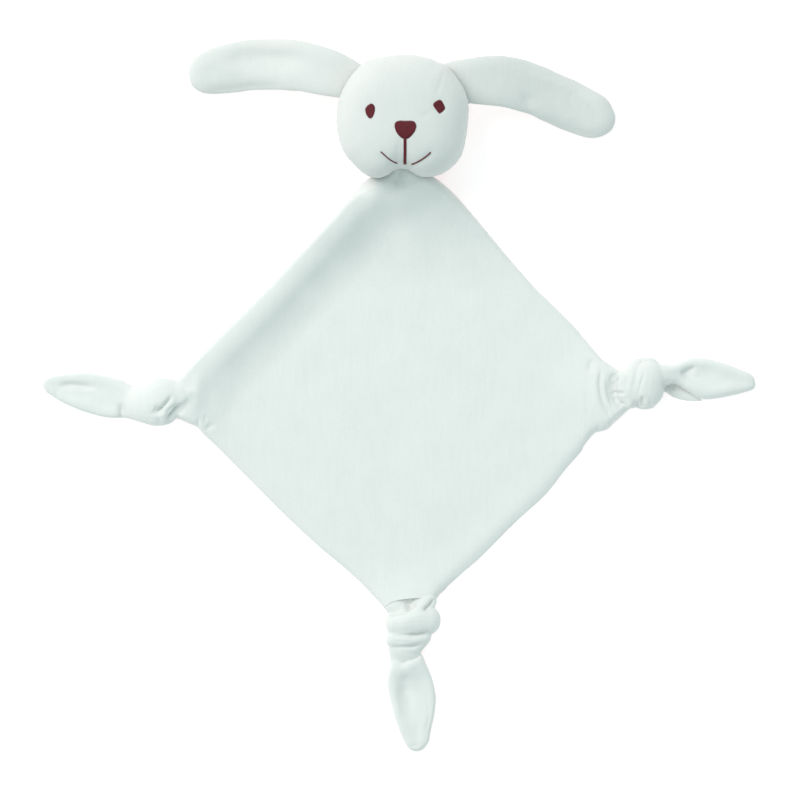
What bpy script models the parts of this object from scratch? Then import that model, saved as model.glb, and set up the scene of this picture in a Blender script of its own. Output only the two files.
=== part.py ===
"""Comfort blanket lovey: a stuffed bunny head with long ears on a velour blanket with knotted corners.

The toy lies on its back on z = 0, face up, head towards +Y. Metres, +Z up. The origin is on the
surface it lies on, under the middle of its outline. Every sewn piece is a closed solid of its own.
"""
import math

import bmesh
import bpy
import numpy as np
from mathutils import Matrix, Vector, geometry

# Fits between pieces
SEAM_GAP = 0.0003
HINGE_GAP = 0.0003
FLAT_CUT = 0.0005
CUT_OVERRUN = 0.004

# Cloth
VELOUR = 0.0015
SEAM_LEVEL = 0.0018
CLOTH_TOP = 0.0034
RIDGE_TOP = 0.0058
RIM_TOP = 0.0027
RIM_BAND = 0.0150
RIM_INSET = 0.0012
BLANKET_EDGE_BOW = 0.0012
RIM_ROLL_POWER = 0.55
RIM_RISE_SHARE = 0.5
RIM_SWELL_SHARE = 1 / 3
RIM_WIDTH_SHARE = 0.4
RIM_STATION_SHARES = (0, 0.09, 0.25, 0.45, 0.7, 1)

# Blanket outline: its size between the gathered ends, and the middle and width of each end
BLANKET_LENGTH = 0.2004
BLANKET_WIDTH = 0.2045
BLANKET_MIDDLE_X = -0.00375
BLANKET_MIDDLE_Y = -0.0027
NECK_END_X = 0.0018
NECK_END_Y = BLANKET_MIDDLE_Y + BLANKET_LENGTH / 2
NECK_END_WIDTH = 0.0455
NECK_END_TOP = 0.0080
LEFT_END_X = BLANKET_MIDDLE_X - BLANKET_WIDTH / 2
LEFT_END_Y = -0.0015
LEFT_END_WIDTH = 0.0225
RIGHT_END_X = BLANKET_MIDDLE_X + BLANKET_WIDTH / 2
RIGHT_END_Y = 0.0000
RIGHT_END_WIDTH = 0.0370
BOTTOM_END_X = 0.0029
BOTTOM_END_Y = BLANKET_MIDDLE_Y - BLANKET_LENGTH / 2
BOTTOM_END_WIDTH = 0.0245
CORNER_TOP = 0.0058
END_SWELL = 0.0260
FOLD_DEPTH = 0.0005
FOLD_WIDTH = 0.0080

# Head
HEAD_WIDTH = 0.0650
HEAD_HEIGHT = 0.0602
HEAD_FRONT = 0.0275
HEAD_BACK = 0.0245
HEAD_OFFSET_X = -0.0001
HEAD_OUTLINE_POWER = 2.35
HEAD_DEPTH_POWER = 2.2

# Neck
NECK_ROOT_WIDTH = 0.0380
NECK_ROOT_RADIUS = 0.0042
NECK_ROOT_Z = 0.0050
NECK_PLUG_RADIUS = 0.0068
NECK_PLUG_Z = 0.0125
NECK_PLUG_FIT = 0.0016
NECK_RISE = 0.0040
NECK_INSERT = 0.0125
NECK_TO_CHIN = 0.0045
NECK_ROOT_SHARES = ((1, 0.30), (0.8, 0.62), (0.4, 0.92), (0, 1))
THREAD_RADIUS = 0.0004
TIE_FROM_RISE = 0.0024

# Face embroidery, placed from the middle of the head
STITCH_HEIGHT = 0.0007
STITCH_TOP_SHARE = 0.82
STITCH_TAPER_SHARE = 0.6
EYE_WIDTH = 0.0052
EYE_HEIGHT = 0.0066
EYE_LEFT_X = -0.0162
EYE_LEFT_Y = 0.0025
EYE_RIGHT_X = 0.0179
EYE_RIGHT_Y = 0.0044
EYE_SLANT = math.radians(12)
NOSE_X = 0.0012
NOSE_Y = -0.0064
NOSE_WIDTH = 0.0102
NOSE_HEIGHT = 0.0098
NOSE_CORNER = 0.0022
NOSE_CORNER_SHARE = 0.4
NOSE_SHARES = ((-0.5, 0.5), (0.5, 0.5), (0.5, 0.1), (0, -0.5), (-0.5, 0.1))
MOUTH_LINE = 0.0013
MOUTH_BOTTOM_Y = -0.0236
SMILE_GAP = 0.0006
SMILE_LEFT_X = -0.0100
SMILE_LEFT_Y = -0.0179
SMILE_RIGHT_X = 0.0154
SMILE_RIGHT_Y = -0.0169
SMILE_SAG = 0.0012

# Ears
EAR_WIDTH = 0.0250
EAR_ROOT_WIDTH = 0.0190
EAR_THICKNESS = 0.0090
EAR_ROOT_THICKNESS = 0.0044
EAR_ROOT_SETBACK = 0.0020
EAR_SKIN = 0.0012
EAR_TIP_LENGTH = 0.0170
EAR_DROOP = 0.0400
EAR_ROOT_HANDLE = 0.0170
EAR_TIP_HANDLE = 0.0290
EAR_ROOT_LIFT = -0.0020
EAR_LENS_POWER = 0.6
EAR_INSIDE_SHARE = 0.86
WADDING_START = 0.0100
WADDING_SHARE = 0.8
EAR_LEFT_ANGLE = math.radians(146.0)
EAR_RIGHT_ANGLE = math.radians(29.5)
EAR_LEFT_REACH_X = -0.1050
EAR_LEFT_REACH_Y = 0.0214
EAR_LEFT_TIP_ANGLE = math.radians(188.0)
EAR_RIGHT_REACH_X = 0.1046
EAR_RIGHT_REACH_Y = -0.0024
EAR_RIGHT_TIP_ANGLE = math.radians(-22.0)

# Knots
STRAND = 0.0048
KNOT_SELF_GAP = 0.00045
KNOT_TORUS_ANGLE = math.radians(40)
KNOT_CUT_ANGLE = math.radians(43)
KNOT_LENGTH_SHARE = 1.50
KNOT_HEIGHT_SHARE = 0.80
KNOT_SWELL = 0.0013
KNOT_ROOT_RADIUS = 0.0031
KNOT_ROOT_MARGIN = 0.0015
KNOT_REACH_LEFT = 0.0150
KNOT_REACH_RIGHT = 0.0210
KNOT_REACH_BOTTOM = 0.0150
KNOT_SHIFT_LEFT = -0.0005
KNOT_SHIFT_RIGHT = 0.0045
KNOT_SHIFT_BOTTOM = 0.0030
KNOT_EXIT = 0.0128
KNOT_EXIT_RUN = 0.0012
KNOT_EXIT_Z = 0.0050
KNOT_WAIST_SHARE = 0.3333
KNOT_SWELL_SHARE = 0.5
STRAND_NECK_SHARE = 0.8
STRAND_RUN_SHARE = 1.6
STRAND_REACH_SHARE = 1.8

# Rounded roots of the knots and tails
ROOT_SHARES = (1, 0.8, 0.4)
ROOT_END_SHARE = 0.3

# Tails
TAIL_ROOT_RADIUS = 0.0024
TAIL_ROOT_WIDTH = 0.0100
TAIL_WIDTH = 0.0200
TAIL_THICKNESS = 0.0062
TAIL_HOLLOW = 0.0024
TAIL_FLARE = 0.0090
TAIL_LEFT_LENGTH = 0.0345
TAIL_RIGHT_LENGTH = 0.0360
TAIL_BOTTOM_LENGTH = 0.0382
TAIL_LEFT_SWAY = -0.0056
TAIL_RIGHT_SWAY = 0.0010
TAIL_BOTTOM_SWAY = 0.0030
TAIL_SWAY_POWER = 1.5
TAIL_SETTLE_SHARE = 1.5
TAIL_POINT_POWER = 2.4
TAIL_POINT_SHARE = 0.0775
TAIL_POINT_HEIGHT_SHARE = 0.45
TAIL_LAST_STATION_SHARE = 0.96

# Counts
SEGMENTS = 40
INNER_SEGMENTS = 24
HEAD_RINGS = 9
STUFFING_RINGS = 8
BLANKET_STEPS = 7
EYE_SIDES = 14
EAR_SPINE_STEPS = 90
EAR_STEPS = 11
EAR_TIP_STEPS = 6
EAR_SIDES = 8
WADDING_SIDES = 14
KNOT_SPANS = 26
KNOT_STEPS = 2
KNOT_SIDES = 10
TAIL_FLARE_STEPS = 3
TAIL_STEPS = 9
TAIL_SIDES = 14
SHARP_ANGLE = math.radians(50)

VELOUR_WHITE = (0.76, 0.84, 0.82)
STUFFING_WHITE = (0.90, 0.90, 0.88)
BURGUNDY = (0.085, 0.012, 0.018)
THREAD_WHITE = (0.80, 0.86, 0.84)


# Scene and materials

def clear_scene():
    """Start from an empty file."""
    for old in list(bpy.data.objects):
        bpy.data.objects.remove(old, do_unlink=True)


def material(name, colour, roughness):
    """A plain fabric or thread material."""
    made = bpy.data.materials.get(name) or bpy.data.materials.new(name)
    made.use_nodes = True
    shader = made.node_tree.nodes["Principled BSDF"]
    shader.inputs["Base Color"].default_value = (*colour, 1)
    shader.inputs["Roughness"].default_value = roughness
    shader.inputs["Metallic"].default_value = 0
    return made


def velour(name):
    """The velour of one sub-part."""
    return material(name + "_velour", VELOUR_WHITE, 0.95)


def make_object(name, bm, finish, pivot=None):
    """Turn a bmesh in world coordinates into an object whose origin is on its joint's axis."""
    bmesh.ops.recalc_face_normals(bm, faces=bm.faces)
    mesh = bpy.data.meshes.new(name)
    origin = Vector(pivot) if pivot else Vector((0, 0, 0))
    bmesh.ops.translate(bm, verts=bm.verts, vec=-origin)
    bm.to_mesh(mesh)
    bm.free()
    mesh.shade_smooth()
    mesh.set_sharp_from_angle(angle=SHARP_ANGLE)
    made = bpy.data.objects.new(name, mesh)
    made.location = origin
    made.data.materials.append(finish)
    bpy.context.scene.collection.objects.link(made)
    return made


# Shared shapes

def smoothstep(share):
    """An even rise from 0 to 1."""
    share = min(max(share, 0), 1)
    return share * share * (3 - 2 * share)


def lerp(low, high, share):
    """A value between two others."""
    return low + (high - low) * share


def loft(rings, name, finish, pivot=None):
    """Join closed rings of equal count into one body with a cap on each end."""
    bm = bmesh.new()
    rows = [[bm.verts.new(point) for point in ring] for ring in rings]
    count = len(rows[0])
    for low, high in zip(rows, rows[1:]):
        for i in range(count):
            j = (i + 1) % count
            bm.faces.new((low[i], low[j], high[j], high[i]))
    bm.faces.new(rows[0])
    bm.faces.new(rows[-1])
    return make_object(name, bm, finish, pivot)


def floor_cut(point):
    """Flatten what would sink below the surface that the toy lies on."""
    return Vector((point.x, point.y, max(point.z, 0)))


def tangents(path):
    """The direction of a path at each of its points."""
    count = len(path)
    return [(path[min(i + 1, count - 1)] - path[max(i - 1, 0)]).normalized() for i in range(count)]


def frames(path, up, end):
    """Frames carried along a path without twist, one (side, up) pair a point, square to its last way."""
    found = []
    for along in tangents(path)[:-1] + [end]:
        side = along.cross(up).normalized()
        up = side.cross(along).normalized()
        found.append((side, up))
    return found


def smooth_curve(points, steps):
    """A smooth curve through points, with an equal number of steps in each span."""
    ahead = [(after - before) / 6 for before, after in zip(points, points[2:])]
    ahead = [(points[1] - points[0]) / 3] + ahead + [(points[-1] - points[-2]) / 3]
    curve = []
    for i in range(len(points) - 1):
        start, end = points[i], points[i + 1]
        span = geometry.interpolate_bezier(start, start + ahead[i], end - ahead[i + 1], end, steps + 1)
        curve += [Vector(point) for point in span[:-1]]
    return curve + [points[-1]]


def cylinder_cutter(name, radius, start, end):
    """A hidden cylinder between two points, for cutting."""
    bpy.ops.mesh.primitive_cylinder_add(vertices=SEGMENTS, radius=radius, depth=(end - start).length,
                                        location=(start + end) / 2)
    cutter = bpy.context.object
    cutter.name = name
    cutter.rotation_mode = "QUATERNION"
    cutter.rotation_quaternion = (end - start).to_track_quat("Z", "Y")
    cutter.hide_render = True
    cutter.display_type = "WIRE"
    return cutter


def cut(target, cutter):
    """Take a cutter's shape out of a piece."""
    step = target.modifiers.new("cut", "BOOLEAN")
    step.operation = "DIFFERENCE"
    step.solver = "EXACT"
    step.object = cutter


# Blanket

def end_corners():
    """The blanket's eight outline corners, as (x, y), by name."""
    return {
        "neck_left": (NECK_END_X - NECK_END_WIDTH / 2, NECK_END_Y),
        "neck_right": (NECK_END_X + NECK_END_WIDTH / 2, NECK_END_Y),
        "left_top": (LEFT_END_X, LEFT_END_Y + LEFT_END_WIDTH / 2),
        "left_bottom": (LEFT_END_X, LEFT_END_Y - LEFT_END_WIDTH / 2),
        "right_top": (RIGHT_END_X, RIGHT_END_Y + RIGHT_END_WIDTH / 2),
        "right_bottom": (RIGHT_END_X, RIGHT_END_Y - RIGHT_END_WIDTH / 2),
        "bottom_left": (BOTTOM_END_X - BOTTOM_END_WIDTH / 2, BOTTOM_END_Y),
        "bottom_right": (BOTTOM_END_X + BOTTOM_END_WIDTH / 2, BOTTOM_END_Y),
    }


def side_x(y, top, upper, lower, bottom, bow):
    """Where one side of the blanket lies at a height y; its long edges bow outwards a little."""
    if y > upper[1]:
        start, end = top, upper
    elif y >= lower[1]:
        return upper[0]
    else:
        start, end = lower, bottom
    share = (start[1] - y) / (start[1] - end[1])
    return lerp(start[0], end[0], share) + 4 * bow * share * (1 - share)


def blanket_rows():
    """Rows of the blanket from neck to bottom, each as (y, left x, right x)."""
    at = end_corners()
    levels = sorted({at[key][1] for key in at}, reverse=True)
    heights = []
    for high, low in zip(levels, levels[1:]):
        count = max(1, round((high - low) / (RIM_BAND / 2)))
        heights += [lerp(high, low, k / count) for k in range(count)]
    heights.append(levels[-1])
    rows = []
    for y in heights:
        left = side_x(y, at["neck_left"], at["left_top"], at["left_bottom"], at["bottom_left"],
                      -BLANKET_EDGE_BOW)
        right = side_x(y, at["neck_right"], at["right_top"], at["right_bottom"], at["bottom_right"],
                       BLANKET_EDGE_BOW)
        rows.append((y, left, right))
    return rows


def edge_distance(x, y):
    """How far a point of the blanket lies from its nearest long edge."""
    at = end_corners()
    edges = (("neck_left", "left_top"), ("left_bottom", "bottom_left"),
             ("bottom_right", "right_bottom"), ("right_top", "neck_right"))
    least = RIM_BAND
    for first, second in edges:
        start = Vector(at[first])
        end = Vector(at[second])
        along = (end - start).normalized()
        offset = Vector((x, y)) - start
        least = min(least, abs(along.x * offset.y - along.y * offset.x))
    return least


def blanket_top(x, y):
    """Height of the blanket's face: a flat middle, rolled edges, and swells with folds at the ends."""
    share = edge_distance(x, y) / RIM_BAND
    roll = math.sin(math.pi * min(share, 1) ** RIM_ROLL_POWER)
    level = lerp(RIM_TOP, CLOTH_TOP, smoothstep(share / RIM_RISE_SHARE))
    inner = min(1, share / RIM_SWELL_SHARE)
    height = level + (RIDGE_TOP - CLOTH_TOP) * max(roll, 0)
    ends = ((NECK_END_X, NECK_END_Y, NECK_END_TOP), (LEFT_END_X, LEFT_END_Y, CORNER_TOP),
            (RIGHT_END_X, RIGHT_END_Y, CORNER_TOP), (BOTTOM_END_X, BOTTOM_END_Y, CORNER_TOP))
    for end_x, end_y, top in ends:
        along, across = (y - end_y, x - end_x) if abs(end_y) > abs(end_x) else (x - end_x, y - end_y)
        near = math.exp(-(math.hypot(along, across) / END_SWELL) ** 2)
        fold = FOLD_DEPTH * math.cos(2 * math.pi * across / FOLD_WIDTH)
        height = lerp(height, top, near * inner) + near * fold * inner
    return height


def rim_stations(width):
    """Distances across a row, close together where the edge rolls."""
    band = min(RIM_BAND * math.sqrt(2), width * RIM_WIDTH_SHARE)
    near = [band * share for share in RIM_STATION_SHARES]
    middle = [lerp(band, width - band, k / BLANKET_STEPS) for k in range(1, BLANKET_STEPS)]
    return near + middle + [width - d for d in reversed(near)]


def build_front_panel():
    """The face side of the blanket: relief on top, flat where it lies on the back panel."""
    bm = bmesh.new()
    grid = []
    for y, left, right in blanket_rows():
        grid.append([bm.verts.new((left + d, y, blanket_top(left + d, y)))
                     for d in rim_stations(right - left)])
    for upper, lower in zip(grid, grid[1:]):
        for i in range(len(upper) - 1):
            bm.faces.new((upper[i], upper[i + 1], lower[i + 1], lower[i]))
    close_panel(bm, [edge for edge in bm.edges if edge.is_boundary], SEAM_LEVEL)
    return make_object("blanket_front_panel", bm, velour("blanket_front_panel"))


def close_panel(bm, rim, level):
    """Drop the rim of an open panel to a level and close it with one flat face."""
    lowered = bmesh.ops.extrude_edge_only(bm, edges=rim)["geom"]
    for vert in (item for item in lowered if isinstance(item, bmesh.types.BMVert)):
        vert.co.z = level
    loop = [item for item in lowered if isinstance(item, bmesh.types.BMEdge) and item.is_boundary]
    bmesh.ops.contextual_create(bm, geom=loop)


def build_back_panel():
    """The underside of the blanket, with its lower rim turned in."""
    rows = blanket_rows()
    outline = [(left, y) for y, left, right in rows] + [(right, y) for y, left, right in reversed(rows)]
    centre = Vector((NECK_END_X, 0))
    bm = bmesh.new()
    for inset, z in ((RIM_INSET, 0), (0, VELOUR / 2), (0, VELOUR)):
        for x, y in outline:
            point = Vector((x, y))
            point -= (point - centre).normalized() * inset
            bm.verts.new((point.x, point.y, z))
    bm.verts.ensure_lookup_table()
    count = len(outline)
    for ring in range(2):
        for i in range(count):
            j = (i + 1) % count
            low, high = ring * count, (ring + 1) * count
            bm.faces.new((bm.verts[low + i], bm.verts[low + j], bm.verts[high + j], bm.verts[high + i]))
    bm.faces.new([bm.verts[i] for i in range(count)])
    bm.faces.new([bm.verts[2 * count + i] for i in range(count)])
    return make_object("blanket_back_panel", bm, velour("blanket_back_panel"))


# Head

def neck_pivot():
    """The nod hinge: the middle of the neck's rounded root."""
    return Vector((NECK_END_X, NECK_END_Y + HINGE_GAP + NECK_ROOT_RADIUS, NECK_ROOT_Z))


def head_centre():
    """The middle of the head, at its side seam."""
    return Vector((NECK_END_X + HEAD_OFFSET_X,
                   neck_pivot().y + NECK_TO_CHIN + HEAD_HEIGHT / 2, HEAD_BACK - FLAT_CUT))


def head_radius(angle, inset=0):
    """The head's outline, a rounded oblong, as the distance from its middle."""
    across = abs(math.cos(angle)) / (HEAD_WIDTH / 2 - inset)
    upward = abs(math.sin(angle)) / (HEAD_HEIGHT / 2 - inset)
    return (across ** HEAD_OUTLINE_POWER + upward ** HEAD_OUTLINE_POWER) ** (-1 / HEAD_OUTLINE_POWER)


def bulge(share):
    """How far the head's outline has drawn in at a share of its depth."""
    return max(0, 1 - min(share, 1) ** HEAD_DEPTH_POWER) ** (1 / HEAD_DEPTH_POWER)


def head_point(angle, turn, depth, inset=0, lift=0):
    """A point of the head's surface: turn runs from the seam, 0, to the pole, a quarter turn."""
    share = math.sin(turn)
    reach = head_radius(angle, inset) * bulge(share)
    centre = head_centre()
    return Vector((centre.x + reach * math.cos(angle), centre.y + reach * math.sin(angle),
                   centre.z + lift + math.copysign(share * (abs(depth) - inset), depth)))


def face_height(x, y):
    """Height of the face over a point given from the middle of the head."""
    share = min(1, math.hypot(x, y) / head_radius(math.atan2(y, x)))
    return head_centre().z + SEAM_GAP / 2 + HEAD_FRONT * bulge(share)


def build_head_panel(name, start, end, depth, lift, shift):
    """A panel of the head's skin, from one angle to another, between the seam and the pole."""
    full = math.isclose(end - start, 2 * math.pi)
    count = SEGMENTS if full else SEGMENTS // 2
    bm = bmesh.new()
    walls = []
    for inset in (0, VELOUR):
        grid = []
        for ring in range(HEAD_RINGS):
            turn = math.pi / 2 * ring / HEAD_RINGS
            row = []
            for k in range(count if full else count + 1):
                point = head_point(lerp(start, end, k / count), turn, depth, inset, lift)
                floor = inset if depth < 0 else point.z
                row.append(bm.verts.new((point.x + shift, point.y, max(point.z, floor))))
            grid.append(row)
        pole = head_point(start, math.pi / 2, depth, inset, lift)
        floor = inset if depth < 0 else pole.z
        walls.append((grid, bm.verts.new((head_centre().x + shift, pole.y, max(pole.z, floor)))))
    for grid, pole in walls:
        for low, high in zip(grid, grid[1:]):
            skin(bm, low, high, full)
        edge = grid[-1] + ([grid[-1][0]] if full else [])
        for a, b in zip(edge, edge[1:]):
            bm.faces.new((a, b, pole))
    (outer, outer_pole), (inner, inner_pole) = walls
    skin(bm, outer[0], inner[0], full)
    if not full:
        for side in (0, -1):
            outside = [row[side] for row in outer] + [outer_pole]
            inside = [row[side] for row in inner] + [inner_pole]
            skin(bm, outside, inside, False)
    return make_object(name, bm, velour(name), (head_centre().x, neck_pivot().y, NECK_PLUG_Z))


def skin(bm, low, high, closed):
    """Faces between two rows of vertices."""
    count = len(low)
    for i in range(count if closed else count - 1):
        j = (i + 1) % count
        bm.faces.new((low[i], low[j], high[j], high[i]))


def build_head():
    """The face, the two back panels with the neck opening between them, and the stuffing."""
    quarter = math.pi / 2
    build_head_panel("head_face_panel", 0, 4 * quarter, HEAD_FRONT, SEAM_GAP / 2, 0)
    right = build_head_panel("head_back_right_panel", -quarter, quarter, -HEAD_BACK, -SEAM_GAP / 2,
                             SEAM_GAP / 2)
    left = build_head_panel("head_back_left_panel", quarter, 3 * quarter, -HEAD_BACK, -SEAM_GAP / 2,
                            -SEAM_GAP / 2)
    mouth_start = Vector((NECK_END_X, neck_pivot().y - CUT_OVERRUN, NECK_PLUG_Z))
    mouth_end = Vector((NECK_END_X, neck_pivot().y + NECK_RISE + NECK_INSERT + NECK_PLUG_FIT, NECK_PLUG_Z))
    opening = cylinder_cutter("neck_opening_cutter", NECK_PLUG_RADIUS + NECK_PLUG_FIT, mouth_start, mouth_end)
    build_stuffing(opening)
    cut(right, opening)
    cut(left, opening)


def build_stuffing(opening):
    """The filling of the head, inside its skin, hollowed where the neck is tucked in."""
    inset = VELOUR + SEAM_GAP
    rows = []
    for ring in range(1 - STUFFING_RINGS, STUFFING_RINGS):
        turn = math.pi / 2 * ring / STUFFING_RINGS
        depth = HEAD_FRONT if ring > 0 else -HEAD_BACK
        row = []
        for k in range(INNER_SEGMENTS):
            angle = 2 * math.pi * k / INNER_SEGMENTS
            point = head_point(angle, abs(turn), depth, inset)
            row.append(Vector((point.x, point.y, max(point.z, inset))))
        rows.append(row)
    stuffing = loft(rows, "head_stuffing", material("polyester_filling", STUFFING_WHITE, 1))
    cut(stuffing, opening)


def build_neck():
    """The gathered corner: a wide rounded root that hinges on the blanket, narrowing to a round plug."""
    pivot = neck_pivot()
    root = NECK_ROOT_RADIUS
    rings = []
    for back_share, share in NECK_ROOT_SHARES:
        rings.append(neck_ring(pivot - Vector((0, root * back_share, 0)), NECK_ROOT_WIDTH / 2, root * share))
    for k in range(1, 6):
        share = smoothstep(k / 5)
        middle = pivot + Vector((0, NECK_RISE * k / 5, (NECK_PLUG_Z - pivot.z) * share))
        rings.append(neck_ring(middle, lerp(NECK_ROOT_WIDTH / 2, NECK_PLUG_RADIUS, share),
                               lerp(root, NECK_PLUG_RADIUS, share)))
    inner = Vector((pivot.x, pivot.y + NECK_RISE + NECK_INSERT, NECK_PLUG_Z))
    rings.append(neck_ring(inner - Vector((0, NECK_PLUG_RADIUS / 2, 0)), NECK_PLUG_RADIUS, NECK_PLUG_RADIUS))
    rings.append(neck_ring(inner, NECK_PLUG_RADIUS / 2, NECK_PLUG_RADIUS / 2))
    loft(rings, "neck_gather", velour("neck_gather"), pivot)


def neck_ring(middle, half_width, half_height):
    """One upright section of the neck."""
    turns = [2 * math.pi * k / INNER_SEGMENTS for k in range(INNER_SEGMENTS)]
    return [middle + Vector((half_width * math.cos(turn), 0, half_height * math.sin(turn)))
            for turn in turns]


def build_neck_stitching():
    """The thread that ties the gathered neck, a ring round it inside the head's opening."""
    pivot = neck_pivot()
    tie_radius = NECK_PLUG_RADIUS + SEAM_GAP + THREAD_RADIUS
    curve = bpy.data.curves.new("neck_stitching", "CURVE")
    curve.dimensions = "3D"
    curve.bevel_depth = THREAD_RADIUS
    curve.bevel_resolution = 1
    spline = curve.splines.new("POLY")
    spline.points.add(SEGMENTS - 1)
    spline.use_cyclic_u = True
    for k in range(SEGMENTS):
        angle = 2 * math.pi * k / SEGMENTS
        spline.points[k].co = (tie_radius * math.cos(angle), 0, tie_radius * math.sin(angle), 1)
    made = bpy.data.objects.new("neck_stitching", curve)
    made.location = (pivot.x, pivot.y + NECK_RISE + TIE_FROM_RISE, NECK_PLUG_Z)
    made.data.materials.append(material("white_thread", THREAD_WHITE, 0.7))
    bpy.context.scene.collection.objects.link(made)


# Face embroidery

def face_patch(name, outline, finish):
    """A satin-stitched patch that lies on the face, from its outline round its middle."""
    centre = head_centre()
    middle = sum(outline, Vector((0, 0))) / len(outline)
    bm = bmesh.new()
    layers = []
    low = SEAM_GAP
    high = SEAM_GAP + STITCH_HEIGHT
    for lift, shrink in ((low, 1), ((low + high) / 2, 1), (high, STITCH_TOP_SHARE)):
        row = []
        for point in outline:
            flat = middle + (point - middle) * shrink
            row.append(bm.verts.new((centre.x + flat.x, centre.y + flat.y, face_height(*flat) + lift)))
        layers.append((row, bm.verts.new((centre.x + middle.x, centre.y + middle.y,
                                          face_height(*middle) + lift))))
    for (low, _), (high, _) in zip(layers, layers[1:]):
        skin(bm, low, high, True)
    for row, pole in (layers[0], layers[-1]):
        for i, vert in enumerate(row):
            bm.faces.new((vert, row[(i + 1) % len(row)], pole))
    return make_object(name, bm, finish, (NECK_END_X, neck_pivot().y, NECK_PLUG_Z))


def stitch_line(name, points, width, finish):
    """A line of stem stitch that lies on the face, tapering a little at its ends."""
    centre = head_centre()
    rings = []
    for i, point in enumerate(points):
        along = (points[min(i + 1, len(points) - 1)] - points[max(i - 1, 0)]).normalized()
        side = Vector((-along.y, along.x))
        half = width / 2 * (STITCH_TAPER_SHARE if i in (0, len(points) - 1) else 1)
        ring = []
        for across, lift in ((-half, 0), (half, 0), (half / 2, STITCH_HEIGHT), (-half / 2, STITCH_HEIGHT)):
            flat = point + side * across
            ring.append(Vector((centre.x + flat.x, centre.y + flat.y,
                                face_height(*flat) + SEAM_GAP + lift)))
        rings.append(ring)
    return loft(rings, name, finish, (NECK_END_X, neck_pivot().y, NECK_PLUG_Z))


def smile(start, end):
    """A sagging line from a cheek to the middle of the mouth."""
    steps = 7
    return [Vector((lerp(start.x, end.x, k / steps),
                    lerp(start.y, end.y, k / steps) - 4 * SMILE_SAG * k / steps * (1 - k / steps)))
            for k in range(steps + 1)]


def build_face():
    """Eyes, nose and mouth."""
    satin = material("burgundy_thread", BURGUNDY, 0.55)
    for name, x, y, slant in (("eye_left", EYE_LEFT_X, EYE_LEFT_Y, EYE_SLANT),
                              ("eye_right", EYE_RIGHT_X, EYE_RIGHT_Y, -EYE_SLANT)):
        outline = []
        for k in range(EYE_SIDES):
            angle = 2 * math.pi * k / EYE_SIDES
            point = Vector((EYE_WIDTH / 2 * math.cos(angle), EYE_HEIGHT / 2 * math.sin(angle)))
            outline.append(Vector((x, y)) + Matrix.Rotation(slant, 2) @ point)
        face_patch(name, outline, satin)
    face_patch("nose", nose_outline(), satin)
    top = NOSE_Y - NOSE_HEIGHT / 2 - SMILE_GAP
    steps = 6
    centre_line = [Vector((NOSE_X, lerp(top, MOUTH_BOTTOM_Y, k / steps))) for k in range(steps + 1)]
    stitch_line("mouth_centre_stitch", centre_line, MOUTH_LINE, satin)
    reach = MOUTH_LINE / 2 + SMILE_GAP
    stitch_line("mouth_left_stitch", smile(Vector((SMILE_LEFT_X, SMILE_LEFT_Y)),
                                           Vector((NOSE_X - reach, MOUTH_BOTTOM_Y))), MOUTH_LINE, satin)
    stitch_line("mouth_right_stitch", smile(Vector((SMILE_RIGHT_X, SMILE_RIGHT_Y)),
                                            Vector((NOSE_X + reach, MOUTH_BOTTOM_Y))), MOUTH_LINE, satin)


def nose_outline():
    """A rounded triangle, wide at the top."""
    points = [Vector((NOSE_X + sx * NOSE_WIDTH, NOSE_Y + sy * NOSE_HEIGHT)) for sx, sy in NOSE_SHARES]
    outline = []
    for i, corner in enumerate(points):
        before = points[i - 1] - corner
        after = points[(i + 1) % len(points)] - corner
        back = corner + before.normalized() * min(NOSE_CORNER, before.length * NOSE_CORNER_SHARE)
        ahead = corner + after.normalized() * min(NOSE_CORNER, after.length * NOSE_CORNER_SHARE)
        for k in range(4):
            t = k / 3
            outline.append(back * (1 - t) ** 2 + corner * 2 * t * (1 - t) + ahead * t ** 2)
    return outline


# Ears

def ear_frame(side):
    """An ear's hinge: its middle, its axis and the direction the ear leaves the head in."""
    angle = EAR_LEFT_ANGLE if side == "left" else EAR_RIGHT_ANGLE
    step = math.radians(2)
    centre = head_centre()
    root = head_point(angle, 0, HEAD_FRONT)
    before = head_point(angle - step, 0, HEAD_FRONT)
    after = head_point(angle + step, 0, HEAD_FRONT)
    axis = (after - before).normalized()
    out = axis.cross(Vector((0, 0, 1))).normalized()
    reach = math.hypot(EAR_ROOT_SETBACK, EAR_SKIN) + HINGE_GAP
    middle = root + out * reach
    middle.z = centre.z + EAR_ROOT_LIFT
    return middle, axis, out


def ear_spine(side):
    """The middle line of an ear, from its hinge to its tip, and its length along the table."""
    hinge, axis, out = ear_frame(side)
    if side == "left":
        tip = Vector((head_centre().x + EAR_LEFT_REACH_X, head_centre().y + EAR_LEFT_REACH_Y, hinge.z))
        angle = EAR_LEFT_TIP_ANGLE
    else:
        tip = Vector((head_centre().x + EAR_RIGHT_REACH_X, head_centre().y + EAR_RIGHT_REACH_Y, hinge.z))
        angle = EAR_RIGHT_TIP_ANGLE
    tip_out = Vector((math.cos(angle), math.sin(angle), 0))
    flat = geometry.interpolate_bezier(hinge, hinge + out * EAR_ROOT_HANDLE,
                                       tip - tip_out * EAR_TIP_HANDLE, tip, EAR_SPINE_STEPS)
    points = [hinge - out * EAR_ROOT_SETBACK] + [Vector(point) for point in flat]
    travelled = [0]
    for a, b in zip(points, points[1:]):
        travelled.append(travelled[-1] + (b - a).length)
    rest = EAR_THICKNESS / 2 - FLAT_CUT
    for point, distance in zip(points, travelled):
        drop = smoothstep((distance - EAR_ROOT_SETBACK) / EAR_DROOP)
        point.z = lerp(hinge.z, rest, drop)
    return points, travelled


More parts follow.
